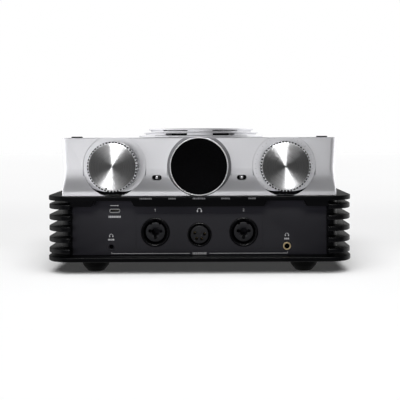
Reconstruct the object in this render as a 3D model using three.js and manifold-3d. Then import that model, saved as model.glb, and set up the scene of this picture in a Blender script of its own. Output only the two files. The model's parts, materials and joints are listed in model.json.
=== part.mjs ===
// Desktop headphone amplifier: a finned black base with a silver control housing on top.
// Millimetres, +Z up. The front faces -Y, and the origin is on the floor under the middle.
import * as THREE from 'three';
import { mergeVertices } from 'three/addons/utils/BufferGeometryUtils.js';
import Module from 'manifold-3d';

// ---------------------------------------------------------------- driving dimensions
const GAP = 0.3;                     // clearance between separate pieces

const WIDTH = 256;                   // base, over the fins
const BASE_DEPTH = 177;              // base, lip to back edge
const BASE_CORNER = 20;              // plan radius of the base's corners
const PLATE_THICKNESS = 3.9;         // top and bottom plates of the base
const FOOT_HEIGHT = 10.2;
const FOOT_X = 88.7;
const FOOT_Y = 66;
const TOP_PLATE_TOP = 64.6;          // the housing stands on this level

const FIN_COUNT = 5;
const FIN_THICKNESS = 4.2;
const FIN_PITCH = 9.2;
const FIN_INSET = 0.4;               // fins stop this far inside the plates' outline
const FIN_REACH = 11.5;              // gap depth between two fins
const HEATSINK_WALL = 4.5;
const FIRST_FIN = 16.8;              // underside of the lowest fin
const SIDE_LIMIT = 107;              // the heatsinks end here, where the front panel starts

const LIP_BOTTOM = 56;               // lower edge of the hanging front lip
const LIP_THICKNESS = 3.5;
const LIP_HALF = 106.4;
const LIP_OVERLAP = 1;               // how far the lip runs up into the top plate
const NOTCH_HALF = 15;               // half width of the lip's notch under a knob, at its top
const NOTCH_SLANT = 2.4;
const NOTCH_CORNER = 2.5;

const FACE_Y = -77.5;                // flat face of the housing, and front of the panel
const HOUSING_BACK = 84;
const HOUSING_HALF_TOP = 116.5;
const HOUSING_HALF_FOOT = 113.5;
const HOUSING_TOP = 112.9;
const HOUSING_WALL = 3;
const HOUSING_CORNER = 6.5;
const FOOT_CORNER = 1.2;             // the front corners tighten to this at the foot
const WIRING_HOLE = { halfX: 80, halfY: 50, corner: 8 };   // through the top plate, under the housing
const FLARE_TOP = 87;                // the face starts to sweep forward below this level
const FLARE_REACH = 9;
const FLARE_RUN = 2.6;               // upright band left at the foot of the sweep
const FLARE_LEAN = 0.3;              // share of the reach that is a straight slope
const FLARE_BEND = 1.9;              // puts the steepest slope low on the sweep
const MOUTH_RADIUS = 25;             // each dial's opening closes to this at the front of the flare

const KNOB_X = 71.2;
const DIAL_Z = 89.1;                 // height of both knobs and the display
const KNOB_RADIUS = 20.7;
const KNOB_FRONT = -92.5;
const KNOB_BACK = FACE_Y - 2;
const POCKET_RADIUS = 26.3;          // round pocket behind each knob
const DISPLAY_RADIUS = 24.1;         // outside of the display's barrel
const GLASS_RADIUS = 23.2;
const DISPLAY_LAND = 27.1;
const DISPLAY_FRONT = -88.4;
const DISPLAY_SEAT_Y = FACE_Y + 2;   // floor of the countersink behind the barrel
const DISPLAY_NECK = 20;             // the barrel's neck through the housing's face

const SWITCH_X = 35.6;
const SWITCH_Z = 79.4;
const SWITCH_SLOT = { width: 8.2, height: 4.2 };
const SWITCH_PIVOT_Y = FACE_Y + 9;
const LEVER = { halfWidth: 1.25, halfHeight: 1.45, length: 4 };   // the part that the finger moves

const VENT_Y = 4;                    // centre of the round vent, front to back
const WELL_RADIUS = 44;              // opening inside the vent's risers
const BRIDGE_HALF = 11.5;            // solid band left across the middle of the vent

const COMBO_X = 37.1;
const COMBO_Z = 33.5;
const BALANCED_Z = 31.4;

const SEGMENTS = 24;                 // facets round a middling circle
const DIAL_SEGMENTS = 36;            // facets round a knob, the display and the vent
const FINE_SEGMENTS = 12;            // facets round a small hole

// ---------------------------------------------------------------- materials
function finish(color, roughness, metalness) {
  return new THREE.MeshStandardMaterial({ color, roughness, metalness });
}

const MATERIALS = {
  silver: finish(0xd3d4d8, 0.38, 1),
  knob: finish(0xc9cace, 0.28, 1),
  black: finish(0x1b1b1d, 0.5, 0.9),
  panel: finish(0x232327, 0.55, 0.6),
  glass: finish(0x050607, 0.05, 0),
  plastic: finish(0x101012, 0.5, 0),
  insert: finish(0x2c2d30, 0.55, 0),
  rubber: finish(0x0c0c0d, 0.85, 0),
  gold: finish(0xc9a255, 0.3, 1),
  steel: finish(0xa9acb0, 0.35, 1),
  board: finish(0x1d4a34, 0.6, 0),
  capacitor: finish(0x26314a, 0.4, 0.2),
};

// ---------------------------------------------------------------- solid helpers
const wasm = await Module();
wasm.setup();

function toSolid(geometry) {
  const bare = geometry.clone();
  bare.deleteAttribute('normal');
  bare.deleteAttribute('uv');
  const merged = mergeVertices(bare);
  const index = merged.index.array;
  const triangles = [];
  for (let i = 0; i < index.length; i += 3) {
    const [a, b, c] = [index[i], index[i + 1], index[i + 2]];
    if (a !== b && b !== c && c !== a) triangles.push(a, b, c);
  }
  return new wasm.Manifold(new wasm.Mesh({
    numProp: 3,
    vertProperties: new Float32Array(merged.attributes.position.array),
    triVerts: new Uint32Array(triangles),
  }));
}

function toGeometry(solid) {
  const mesh = solid.getMesh();
  const geometry = new THREE.BufferGeometry();
  geometry.setAttribute('position', new THREE.BufferAttribute(mesh.vertProperties, 3));
  geometry.setIndex(new THREE.BufferAttribute(mesh.triVerts, 1));
  geometry.computeVertexNormals();
  return geometry;
}

function cut(geometry, ...cutters) {
  const solid = cutters.reduce((rest, cutter) => rest.subtract(toSolid(cutter)), toSolid(geometry));
  return toGeometry(solid);
}

function join(geometry, ...others) {
  return toGeometry(others.reduce((sum, other) => sum.add(toSolid(other)), toSolid(geometry)));
}

function box(x0, x1, y0, y1, z0, z1) {
  const geometry = new THREE.BoxGeometry(x1 - x0, y1 - y0, z1 - z0);
  return geometry.translate((x0 + x1) / 2, (y0 + y1) / 2, (z0 + z1) / 2);
}

// A profile of [radius, height] points revolved about +Y; open profiles end on the axis.
function turned(profile, segments = SEGMENTS) {
  const points = profile.map(([radius, height]) => new THREE.Vector2(radius, height));
  const [first, last] = [points[0], points[points.length - 1]];
  if (first.x > 0 || last.x > 0) points.push(first.clone());
  if (THREE.ShapeUtils.area(points) < 0) points.reverse();
  return new THREE.LatheGeometry(points, segments);
}

function turnedAboutY(profile, x, z, segments = SEGMENTS) {
  return turned(profile, segments).translate(x, 0, z);
}

function turnedAboutZ(profile, x, y, segments = SEGMENTS) {
  return turned(profile, segments).rotateX(Math.PI / 2).translate(x, y, 0);
}

function rodY(radius, y0, y1, x, z, segments = SEGMENTS) {
  return turnedAboutY([[0, y0], [radius, y0], [radius, y1], [0, y1]], x, z, segments);
}

function rodZ(radius, z0, z1, x, y, segments = SEGMENTS) {
  return turnedAboutZ([[0, z0], [radius, z0], [radius, z1], [0, z1]], x, y, segments);
}

function roundedRect(halfX, halfY, radius, target = new THREE.Shape()) {
  target.moveTo(halfX - radius, -halfY);
  target.absarc(halfX - radius, -halfY + radius, radius, -Math.PI / 2, 0);
  target.absarc(halfX - radius, halfY - radius, radius, 0, Math.PI / 2);
  target.absarc(-halfX + radius, halfY - radius, radius, Math.PI / 2, Math.PI);
  target.absarc(-halfX + radius, -halfY + radius, radius, Math.PI, Math.PI * 1.5);
  return target;
}

function extrudeUp(shape, z0, z1, curveSegments = 6) {
  const options = { depth: z1 - z0, bevelEnabled: false, curveSegments };
  return new THREE.ExtrudeGeometry(shape, options).translate(0, 0, z0);
}

// A shape drawn in X and Z, extruded from y0 back to y1.
function extrudeBack(shape, y0, y1, curveSegments = 3) {
  const options = { depth: y1 - y0, bevelEnabled: false, curveSegments };
  return new THREE.ExtrudeGeometry(shape, options).rotateX(Math.PI / 2).translate(0, y1, 0);
}

function pillShape(width, height) {
  return roundedRect(width / 2, height / 2, height / 2 - 0.01);
}

// ---------------------------------------------------------------- the object
const amplifier = new THREE.Group();

function add(name, geometry, material) {
  const mesh = new THREE.Mesh(geometry, material);
  mesh.name = name;
  amplifier.add(mesh);
}

const SIDES = [['left', -1], ['right', 1]];
const BOTTOM_PLATE_TOP = FOOT_HEIGHT + PLATE_THICKNESS;
const TOP_PLATE_BOTTOM = TOP_PLATE_TOP - PLATE_THICKNESS;
const LIP_FRONT = -BASE_DEPTH / 2;

// ---------------------------------------------------------------- base
function baseOutline(inset) {
  return roundedRect(WIDTH / 2 - inset, BASE_DEPTH / 2 - inset, BASE_CORNER - inset);
}

function addFeet() {
  const profile = [[0, 0], [7, 0], [7.7, 0.7], [10.6, 4.4], [12.7, FOOT_HEIGHT - GAP],
    [0, FOOT_HEIGHT - GAP]];
  for (const [side, sign] of SIDES) {
    add(`foot_front_${side}`, turnedAboutZ(profile, sign * FOOT_X, -FOOT_Y), MATERIALS.rubber);
    add(`foot_rear_${side}`, turnedAboutZ(profile, sign * FOOT_X, FOOT_Y), MATERIALS.rubber);
  }
}

function addPlates() {
  add('bottom_plate', extrudeUp(baseOutline(0), FOOT_HEIGHT, BOTTOM_PLATE_TOP), MATERIALS.black);

  const outline = baseOutline(0);
  const { halfX, halfY, corner } = WIRING_HOLE;
  outline.holes.push(roundedRect(halfX, halfY, corner, new THREE.Path()));
  const plate = extrudeUp(outline, TOP_PLATE_BOTTOM, TOP_PLATE_TOP);
  const lip = extrudeBack(lipShape(), LIP_FRONT, LIP_FRONT + LIP_THICKNESS);
  add('top_plate', join(plate, lip), MATERIALS.black);
}

// The lip seen from the front: full height, but lifted to the plate under each knob.
function lipShape() {
  const top = TOP_PLATE_BOTTOM + LIP_OVERLAP;
  const foot = NOTCH_HALF + NOTCH_SLANT;
  const chamfer = 1;
  const shape = new THREE.Shape();
  shape.moveTo(-LIP_HALF, top);
  shape.lineTo(-LIP_HALF, LIP_BOTTOM);
  for (const centre of [-KNOB_X, KNOB_X]) {
    shape.lineTo(centre - foot - NOTCH_CORNER, LIP_BOTTOM);
    shape.quadraticCurveTo(centre - foot, LIP_BOTTOM, centre - foot + chamfer, LIP_BOTTOM + NOTCH_CORNER);
    shape.lineTo(centre - NOTCH_HALF, TOP_PLATE_BOTTOM - chamfer);
    shape.lineTo(centre - NOTCH_HALF + chamfer, TOP_PLATE_BOTTOM + LIP_OVERLAP / 10);
    shape.lineTo(centre + NOTCH_HALF - chamfer, TOP_PLATE_BOTTOM + LIP_OVERLAP / 10);
    shape.lineTo(centre + NOTCH_HALF, TOP_PLATE_BOTTOM - chamfer);
    shape.lineTo(centre + foot - chamfer, LIP_BOTTOM + NOTCH_CORNER);
    shape.quadraticCurveTo(centre + foot, LIP_BOTTOM, centre + foot + NOTCH_CORNER, LIP_BOTTOM);
  }
  shape.lineTo(LIP_HALF, LIP_BOTTOM);
  shape.lineTo(LIP_HALF, top);
  return shape;
}

// A C-shaped band of the base's outline, from one inset to another, on one side.
function sideBand(outer, inner, sign, z0, z1) {
  const outline = baseOutline(outer);
  const radius = Math.max(BASE_CORNER - inner, 2);
  outline.holes.push(roundedRect(WIDTH / 2 - inner, BASE_DEPTH / 2 - inner, radius, new THREE.Path()));
  const ring = extrudeUp(outline, z0, z1, 5);
  const reach = WIDTH;
  const [x0, x1] = sign < 0 ? [-SIDE_LIMIT, reach] : [-reach, SIDE_LIMIT];
  return cut(ring, box(x0, x1, -reach, reach, z0 - 1, z1 + 1));
}

function addHeatsinks() {
  for (const [side, sign] of SIDES) {
    const wallInner = FIN_REACH + HEATSINK_WALL;
    const wall = sideBand(FIN_REACH, wallInner, sign, BOTTOM_PLATE_TOP + GAP, TOP_PLATE_BOTTOM - GAP);
    const fins = [];
    for (let i = 0; i < FIN_COUNT; i += 1) {
      const z = FIRST_FIN + i * FIN_PITCH;
      fins.push(sideBand(FIN_INSET, wallInner - 1, sign, z, z + FIN_THICKNESS));
    }
    add(`heatsink_${side}`, join(wall, ...fins), MATERIALS.black);
  }
}

// ---------------------------------------------------------------- front panel and its sockets
const PANEL_BACK = FACE_Y + 3;
const PANEL_HALF = SIDE_LIMIT - GAP;
const COMBO = { radius: 12.1, mouth: 9.5, core: 8.2, depth: 22, bore: 3.4, pinPath: 4.6, pin: 1.35 };
const COMBO_PIN_ANGLES = [12, 168, 270];
const BALANCED = { radius: 10.1, mouth: 8.6, core: 7.5, depth: 20, pinPath: 4.2, pin: 1.1 };
const BALANCED_PIN_ANGLES = [160, 234, 297, 5];
const SOCKET_FLOOR = 2;              // thickness of a socket's closed end
const PIN_DEPTH = 11;
const USB_C = { x: -71.1, z: 51.6, width: 9, height: 3.3, wall: 0.5, depth: 9 };
const SMALL_JACK = { x: -74.1, z: 21.3, radius: 3, bore: 1.8, depth: 14 };
const GOLD_JACK = { x: 73.4, z: 21.7, radius: 3.3, bore: 2.2, depth: 14 };

function addFrontPanel() {
  const front = box(-PANEL_HALF, PANEL_HALF, FACE_Y, PANEL_BACK,
    BOTTOM_PLATE_TOP + GAP, TOP_PLATE_BOTTOM - GAP);
  const holes = [-COMBO_X, COMBO_X].map(
    (x) => rodY(COMBO.radius + GAP, FACE_Y - 1, PANEL_BACK + 1, x, COMBO_Z));
  holes.push(rodY(BALANCED.radius + GAP, FACE_Y - 1, PANEL_BACK + 1, 0, BALANCED_Z));
  for (const jack of [SMALL_JACK, GOLD_JACK]) {
    holes.push(rodY(jack.radius + GAP, FACE_Y - 1, PANEL_BACK + 1, jack.x, jack.z, FINE_SEGMENTS));
  }
  const slot = pillShape(USB_C.width + 2 * GAP, USB_C.height + 2 * GAP);
  holes.push(extrudeBack(slot, FACE_Y - 1, PANEL_BACK + 1).translate(USB_C.x, 0, USB_C.z));
  add('front_panel', cut(front, ...holes), MATERIALS.panel);
}

// Holes for contacts, on a circle round a socket's centre.
function pinHoles(socket, angles, front, x, z) {
  return angles.map((degrees) => {
    const angle = THREE.MathUtils.degToRad(degrees);
    const [pinX, pinZ] = [x + socket.pinPath * Math.cos(angle), z + socket.pinPath * Math.sin(angle)];
    return rodY(socket.pin, front - 1, front + PIN_DEPTH, pinX, pinZ, 8);
  });
}

function addComboJacks() {
  const front = FACE_Y - 1;
  const back = FACE_Y + COMBO.depth;
  const floor = back - SOCKET_FLOOR;
  const edge = 0.5;
  const coreFront = FACE_Y + 0.8;
  for (const [side, sign] of SIDES) {
    const x = sign * COMBO_X;
    const shell = turnedAboutY([[0, back], [COMBO.radius, back], [COMBO.radius, front + edge],
      [COMBO.radius - edge, front], [COMBO.mouth + edge, front], [COMBO.mouth, front + edge],
      [COMBO.mouth, floor], [0, floor]], x, COMBO_Z);
    add(`combo_jack_shell_${side}`, shell, MATERIALS.plastic);

    const core = rodY(COMBO.core, coreFront, floor - GAP, x, COMBO_Z);
    const bore = rodY(COMBO.bore, coreFront - 1, floor - SOCKET_FLOOR, x, COMBO_Z, FINE_SEGMENTS);
    const pins = pinHoles(COMBO, COMBO_PIN_ANGLES, coreFront, x, COMBO_Z);
    add(`combo_jack_insert_${side}`, cut(core, bore, ...pins), MATERIALS.insert);
  }
}

function addBalancedSocket() {
  const front = FACE_Y - 0.8;
  const back = FACE_Y + BALANCED.depth;
  const floor = back - SOCKET_FLOOR;
  const shell = turnedAboutY([[0, back], [BALANCED.radius, back], [BALANCED.radius, front],
    [BALANCED.mouth, front], [BALANCED.mouth, floor], [0, floor]], 0, BALANCED_Z);
  add('balanced_socket_shell', shell, MATERIALS.plastic);

  const coreFront = FACE_Y + GAP;
  const core = rodY(BALANCED.core, coreFront, floor - GAP, 0, BALANCED_Z);
  const pins = pinHoles(BALANCED, BALANCED_PIN_ANGLES, coreFront, 0, BALANCED_Z);
  add('balanced_socket_insert', cut(core, ...pins), MATERIALS.insert);
}

function addUsbC() {
  const [front, back] = [FACE_Y - 0.2, FACE_Y + USB_C.depth];
  const floor = back - SOCKET_FLOOR;
  const mouthWidth = USB_C.width - 2 * USB_C.wall;
  const port = extrudeBack(pillShape(USB_C.width, USB_C.height), front, back);
  const mouth = extrudeBack(pillShape(mouthWidth, USB_C.height - 2 * USB_C.wall), front - 1, floor);
  const tongueHalf = { width: 3.4, height: 0.35 };
  const tongue = box(-tongueHalf.width, tongueHalf.width, front + 1.2, floor + 1, -tongueHalf.height,
    tongueHalf.height);
  add('usb_c_socket', join(cut(port, mouth), tongue).translate(USB_C.x, 0, USB_C.z), MATERIALS.steel);
}

function addSmallJacks() {
  const front = FACE_Y + GAP;
  const jacks = { small_headphone_jack: SMALL_JACK, large_headphone_jack: GOLD_JACK };
  for (const [name, jack] of Object.entries(jacks)) {
    const back = FACE_Y + jack.depth;
    const body = rodY(jack.radius, front, back, jack.x, jack.z, FINE_SEGMENTS);
    const hole = rodY(jack.bore, front - 1, back - SOCKET_FLOOR, jack.x, jack.z, FINE_SEGMENTS);
    add(name, cut(body, hole), MATERIALS.plastic);
  }
  const inner = GOLD_JACK.bore + 0.1;
  const edge = 0.3;
  const ring = turnedAboutY([[inner, FACE_Y - 1], [GOLD_JACK.radius - edge, FACE_Y - 1],
    [GOLD_JACK.radius, FACE_Y - 1 + edge], [GOLD_JACK.radius, FACE_Y], [inner, FACE_Y]],
  GOLD_JACK.x, GOLD_JACK.z, FINE_SEGMENTS);
  add('gold_jack_ring', ring, MATERIALS.gold);
}

// ---------------------------------------------------------------- rear panel and its sockets
const REAR_FACE = 84;
const REAR_FRONT = REAR_FACE - 3;    // inner face of the rear panel
const REAR_BACK = BASE_DEPTH / 2 + 4;
const REAR_Z = 36;
const REAR_OUTPUT = { x: 36, radius: 11, mouth: 8.2, depth: 16, pin: 1.2, pinPath: 5.6 };
const REAR_PIN_ANGLES = [90, 210, 330];
const PHONO = { x: 74, radius: 4.2, bore: 1.6, rise: 10 };
const USB_B = { halfX: 6, halfZ: 5.4, wall: 1.5, sideWall: 1.8, depth: 16 };
const INLET = { x: -98, radius: 5, mouth: 3.2, pin: 1.2, depth: 15 };

function addRearPanel() {
  const panel = box(-PANEL_HALF, PANEL_HALF, REAR_FRONT, REAR_FACE,
    BOTTOM_PLATE_TOP + GAP, TOP_PLATE_BOTTOM - GAP);
  const [holeFront, holeBack] = [REAR_FRONT - 1, REAR_FACE + 1];
  const hole = (radius, x, z, segments) => rodY(radius + GAP, holeFront, holeBack, x, z, segments);
  const holes = [hole(INLET.radius, INLET.x, REAR_Z, FINE_SEGMENTS)];
  for (const [, sign] of SIDES) {
    holes.push(hole(REAR_OUTPUT.radius, sign * REAR_OUTPUT.x, REAR_Z, SEGMENTS));
    for (const z of [REAR_Z - PHONO.rise, REAR_Z + PHONO.rise]) {
      holes.push(hole(PHONO.radius, sign * PHONO.x, z, FINE_SEGMENTS));
    }
  }
  holes.push(box(-USB_B.halfX - GAP, USB_B.halfX + GAP, holeFront, holeBack,
    REAR_Z - USB_B.halfZ - GAP, REAR_Z + USB_B.halfZ + GAP));
  add('rear_panel', cut(panel, ...holes), MATERIALS.panel);
}

function addRearOutput(side, x) {
  const front = REAR_FACE - REAR_OUTPUT.depth;
  const floor = front + SOCKET_FLOOR + 1;
  const back = REAR_FACE + 1;
  const cup = turnedAboutY([[0, front], [REAR_OUTPUT.radius, front], [REAR_OUTPUT.radius, back],
    [REAR_OUTPUT.mouth, back], [REAR_OUTPUT.mouth, floor], [0, floor]], x, REAR_Z);
  const pins = REAR_PIN_ANGLES.map((degrees) => {
    const angle = THREE.MathUtils.degToRad(degrees);
    return rodY(REAR_OUTPUT.pin, floor - 0.5, REAR_FACE - 3, x + REAR_OUTPUT.pinPath * Math.cos(angle),
      REAR_Z + REAR_OUTPUT.pinPath * Math.sin(angle), 8);
  });
  add(`balanced_output_${side}`, join(cup, ...pins), MATERIALS.steel);
}

function addPhono(side, place, x, z) {
  const [front, floor] = [REAR_FACE - 9, REAR_FACE - 6];
  const phono = turnedAboutY([[0, front], [PHONO.radius, front], [PHONO.radius, REAR_BACK],
    [PHONO.bore, REAR_BACK], [PHONO.bore, floor], [0, floor]], x, z, FINE_SEGMENTS);
  add(`phono_socket_${side}_${place}`, phono, MATERIALS.gold);
}

function addUsbB() {
  const [front, floor, back] = [REAR_FACE - USB_B.depth, REAR_FACE - 10, REAR_FACE + 0.5];
  const block = (halfX, halfZ, y0, y1) => box(-halfX, halfX, y0, y1, REAR_Z - halfZ, REAR_Z + halfZ);
  const mouth = block(USB_B.halfX - USB_B.sideWall, USB_B.halfZ - USB_B.wall, floor, back + 1);
  const shell = cut(block(USB_B.halfX, USB_B.halfZ, front, back), mouth);
  const tongue = block(2.8, 1.5, floor - 1, REAR_FACE - 1);
  add('usb_b_socket', join(shell, tongue), MATERIALS.steel);
}

function addPowerInlet() {
  const front = REAR_FACE - INLET.depth;
  const floor = front + 5;
  const [back, pinEnd] = [REAR_FACE + 0.8, REAR_FACE - 1];
  const inlet = turnedAboutY([[0, front], [INLET.radius, front], [INLET.radius, back],
    [INLET.mouth, back], [INLET.mouth, floor], [INLET.pin, floor], [INLET.pin, pinEnd], [0, pinEnd]],
  INLET.x, REAR_Z, FINE_SEGMENTS);
  add('power_inlet', inlet, MATERIALS.plastic);
}

function addRearSockets() {
  for (const [side, sign] of SIDES) {
    addRearOutput(side, sign * REAR_OUTPUT.x);
    addPhono(side, 'lower', sign * PHONO.x, REAR_Z - PHONO.rise);
    addPhono(side, 'upper', sign * PHONO.x, REAR_Z + PHONO.rise);
  }
  addUsbB();
  addPowerInlet();
}

// ---------------------------------------------------------------- upper housing
function flareDepth(z) {
  if (z >= FLARE_TOP) return 0;
  const down = Math.min((FLARE_TOP - z) / (FLARE_TOP - TOP_PLATE_TOP - FLARE_RUN), 1);
  const sweep = (1 - Math.cos(Math.PI * down ** FLARE_BEND)) / 2;
  return FLARE_REACH * THREE.MathUtils.lerp(sweep, down, FLARE_LEAN);
}

// One level of the housing's outside: front corners tighten towards the foot.
function housingLevel(z, inset = 0) {
  const down = THREE.MathUtils.clamp((FLARE_TOP - z) / (FLARE_TOP - TOP_PLATE_TOP), 0, 1);
  const rise = (z - TOP_PLATE_TOP) / (HOUSING_TOP - TOP_PLATE_TOP);
  const halfX = THREE.MathUtils.lerp(HOUSING_HALF_FOOT, HOUSING_HALF_TOP, rise) - inset;
  const frontRadius = THREE.MathUtils.lerp(HOUSING_CORNER, FOOT_CORNER, down ** 0.8);
  const front = FACE_Y - flareDepth(z) + inset;
  const back = HOUSING_BACK - inset;
  const corners = [
    [halfX - frontRadius, front + frontRadius, frontRadius, -90],
    [halfX - HOUSING_CORNER, back - HOUSING_CORNER, HOUSING_CORNER, 0],
    [-halfX + HOUSING_CORNER, back - HOUSING_CORNER, HOUSING_CORNER, 90],
    [-halfX + frontRadius, front + frontRadius, frontRadius, 180],
  ];
  const steps = 3;
  const points = [];
  for (const [x, y, radius, start] of corners) {
    for (let i = 0; i <= steps; i += 1) {
      const angle = THREE.MathUtils.degToRad(start + (90 * i) / steps);
      points.push(new THREE.Vector3(x + radius * Math.cos(angle), y + radius * Math.sin(angle), z));
    }
  }
  return points;
}

// A closed skin through outlines that all have the same number of points, lowest first.
function loft(levels) {
  const count = levels[0].length;
  const positions = levels.flat().flatMap((point) => [point.x, point.y, point.z]);
  const index = [];
  for (let level = 0; level < levels.length - 1; level += 1) {
    for (let i = 0; i < count; i += 1) {
      const a = level * count + i;
      const b = level * count + ((i + 1) % count);
      index.push(a, b, b + count, a, b + count, a + count);
    }
  }
  const last = (levels.length - 1) * count;
  const flat = levels[0].map((point) => new THREE.Vector2(point.x, point.y));
  for (const [a, b, c] of THREE.ShapeUtils.triangulateShape(flat, [])) {
    index.push(a, c, b);
    index.push(last + a, last + b, last + c);
  }
  const geometry = new THREE.BufferGeometry();
  geometry.setAttribute('position', new THREE.Float32BufferAttribute(positions, 3));
  geometry.setIndex(index);
  return geometry;
}

// A cutter that clears the flared foot round a dial, wider behind than at its mouth.
function scallop(x, radius) {
  const [front, mouth] = [FACE_Y - 20, FACE_Y - FLARE_REACH];
  return turnedAboutY([[0, front], [MOUTH_RADIUS, front], [MOUTH_RADIUS, mouth],
    [radius, FACE_Y - 0.01], [0, FACE_Y - 0.01]], x, DIAL_Z, DIAL_SEGMENTS);
}

const BUSH_RADIUS = 4.5;
const POCKET_DEPTH = 0.6;            // round pocket that each knob sits over
const CAP = { x: 104, y: FACE_Y + 7.5, radius: 4.7 };

function addHousing() {
  const foot = TOP_PLATE_TOP + GAP;
  const sweep = [0, 0.1, 0.2, 0.31, 0.44, 0.6, 0.8];
  const levels = sweep.map((part) => housingLevel(THREE.MathUtils.lerp(foot, FLARE_TOP, part)));
  levels.push(housingLevel(FLARE_TOP), housingLevel(HOUSING_TOP - 1));
  levels.push(housingLevel(HOUSING_TOP - 0.3, 0.3), housingLevel(HOUSING_TOP, 1));

  const inside = roundedRect(HOUSING_HALF_FOOT - HOUSING_WALL,
    (HOUSING_BACK - FACE_Y) / 2 - HOUSING_WALL, HOUSING_CORNER - HOUSING_WALL);
  const cavity = extrudeUp(inside, foot - 5, HOUSING_TOP - HOUSING_WALL, 3);
  cavity.translate(0, (HOUSING_BACK + FACE_Y) / 2, 0);

  const wallBack = FACE_Y + HOUSING_WALL + 1;
  const cutters = [cavity, scallop(0, DISPLAY_LAND)];
  cutters.push(turnedAboutY([[0, FACE_Y - 1], [DISPLAY_LAND, FACE_Y - 1], [DISPLAY_LAND, FACE_Y],
    [DISPLAY_RADIUS + GAP, DISPLAY_SEAT_Y], [DISPLAY_NECK + GAP, DISPLAY_SEAT_Y],
    [DISPLAY_NECK + GAP, wallBack], [0, wallBack]], 0, DIAL_Z, DIAL_SEGMENTS));
  for (const [, sign] of SIDES) {
    const x = sign * KNOB_X;
    cutters.push(scallop(x, POCKET_RADIUS));
    cutters.push(rodY(POCKET_RADIUS, FACE_Y - 1, FACE_Y + POCKET_DEPTH, x, DIAL_Z, DIAL_SEGMENTS));
    cutters.push(rodY(BUSH_RADIUS + GAP, FACE_Y - 1, wallBack, x, DIAL_Z, FINE_SEGMENTS));
    cutters.push(extrudeBack(pillShape(SWITCH_SLOT.width, SWITCH_SLOT.height), FACE_Y - 12, wallBack)
      .translate(sign * SWITCH_X, 0, SWITCH_Z));
    cutters.push(rodZ(CAP.radius + GAP, HOUSING_TOP - 1, HOUSING_TOP + 1, sign * CAP.x, CAP.y, 16));
  }
  cutters.push(rodZ(WELL_RADIUS - 4, HOUSING_TOP - 10, HOUSING_TOP + 1, 0, VENT_Y));
  add('upper_housing', cut(loft(levels), ...cutters), MATERIALS.silver);
}

function addTopCaps() {
  for (const [side, sign] of SIDES) {
    const cap = turnedAboutZ([[0, HOUSING_TOP - 0.7], [CAP.radius, HOUSING_TOP - 0.7],
      [CAP.radius, HOUSING_TOP + 0.7], [CAP.radius - 0.5, HOUSING_TOP + 1.1],
      [0, HOUSING_TOP + 1.1]], sign * CAP.x, CAP.y, 16);
    add(`top_cap_${side}`, cap, MATERIALS.plastic);
  }
}

// ---------------------------------------------------------------- vent: three stacked round plates
const TIERS = [
  { name: 'vent_plate_lower', radius: 58.8, bottom: HOUSING_TOP + GAP, top: 114.7 },
  { name: 'vent_plate_middle', radius: 54.3, bottom: 116.7, top: 117.6, open: [12.5, 36] },
  { name: 'vent_plate_upper', radius: 49.6, bottom: 119.6, top: 121, open: [13.5, 45] },
];
const RISER_INSET = 2;               // each riser stands this far inside its plate
const WINDOW_RADIUS = WELL_RADIUS - 3;

// A wedge that opens a riser between two angles, measured from straight ahead.
function wedge(fromDegrees, toDegrees, z0, z1) {
  const shape = new THREE.Shape();
  const steps = 4;
  const reach = TIERS[0].radius + 5;
  shape.moveTo(0, 0);
  for (let i = 0; i <= steps; i += 1) {
    const angle = THREE.MathUtils.degToRad(fromDegrees + ((toDegrees - fromDegrees) * i) / steps);
    shape.lineTo(reach * Math.sin(angle), -reach * Math.cos(angle));
  }
  return extrudeUp(shape, z0, z1).translate(0, VENT_Y, 0);
}

// The four openings of a riser: one on each side of the middle, at the front and at the rear.
function riserSlots(tier, z0, z1) {
  const slots = [];
  for (const turn of [0, 180]) {
    for (const [, sign] of SIDES) {
      const [near, far] = tier.open.map((degrees) => turn + sign * degrees);
      slots.push(wedge(Math.min(near, far), Math.max(near, far), z0, z1));
    }
  }
  return slots;
}

// A plate and the riser under it, standing on the tier below.
function raisedTier(tier, below, plateInner) {
  const riserBottom = below.top + GAP;
  const riserRadius = tier.radius - RISER_INSET;
  const riserTop = tier.bottom + GAP / 2;
  const plate = turnedAboutZ([[plateInner, tier.bottom], [tier.radius, tier.bottom],
    [tier.radius, tier.top], [plateInner, tier.top]], 0, VENT_Y, DIAL_SEGMENTS);
  const riser = turnedAboutZ([[WELL_RADIUS, riserBottom], [riserRadius, riserBottom],
    [riserRadius, riserTop], [WELL_RADIUS, riserTop]], 0, VENT_Y, DIAL_SEGMENTS);
  return join(cut(riser, ...riserSlots(tier, riserBottom - 1, tier.bottom)), plate);
}

// A D-shaped window beside the bridge.
function windowShape(sign) {
  const halfAngle = Math.acos(BRIDGE_HALF / WINDOW_RADIUS);
  const middle = sign > 0 ? 0 : Math.PI;
  const shape = new THREE.Shape();
  shape.absarc(0, 0, WINDOW_RADIUS, middle - halfAngle, middle + halfAngle);
  return shape;
}

function addVent() {
  const [lower, middle, upper] = TIERS;
  const inner = WELL_RADIUS + 0.8;
  const ring = turnedAboutZ([[inner, lower.bottom], [lower.radius, lower.bottom],
    [lower.radius, lower.top], [inner, lower.top]], 0, VENT_Y, DIAL_SEGMENTS);
  add(lower.name, ring, MATERIALS.silver);
  add(middle.name, raisedTier(middle, lower, WELL_RADIUS), MATERIALS.silver);

  const windows = SIDES.map(([, sign]) => extrudeUp(windowShape(sign), middle.top, upper.top + 1, 12)
    .translate(0, VENT_Y, 0));
  add(upper.name, cut(raisedTier(upper, middle, 0), ...windows), MATERIALS.silver);

  const mesh = rodZ(WELL_RADIUS + 0.4, HOUSING_TOP + GAP, HOUSING_TOP + 1.3, 0, VENT_Y);
  add('vent_mesh', mesh, MATERIALS.black);
}

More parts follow.
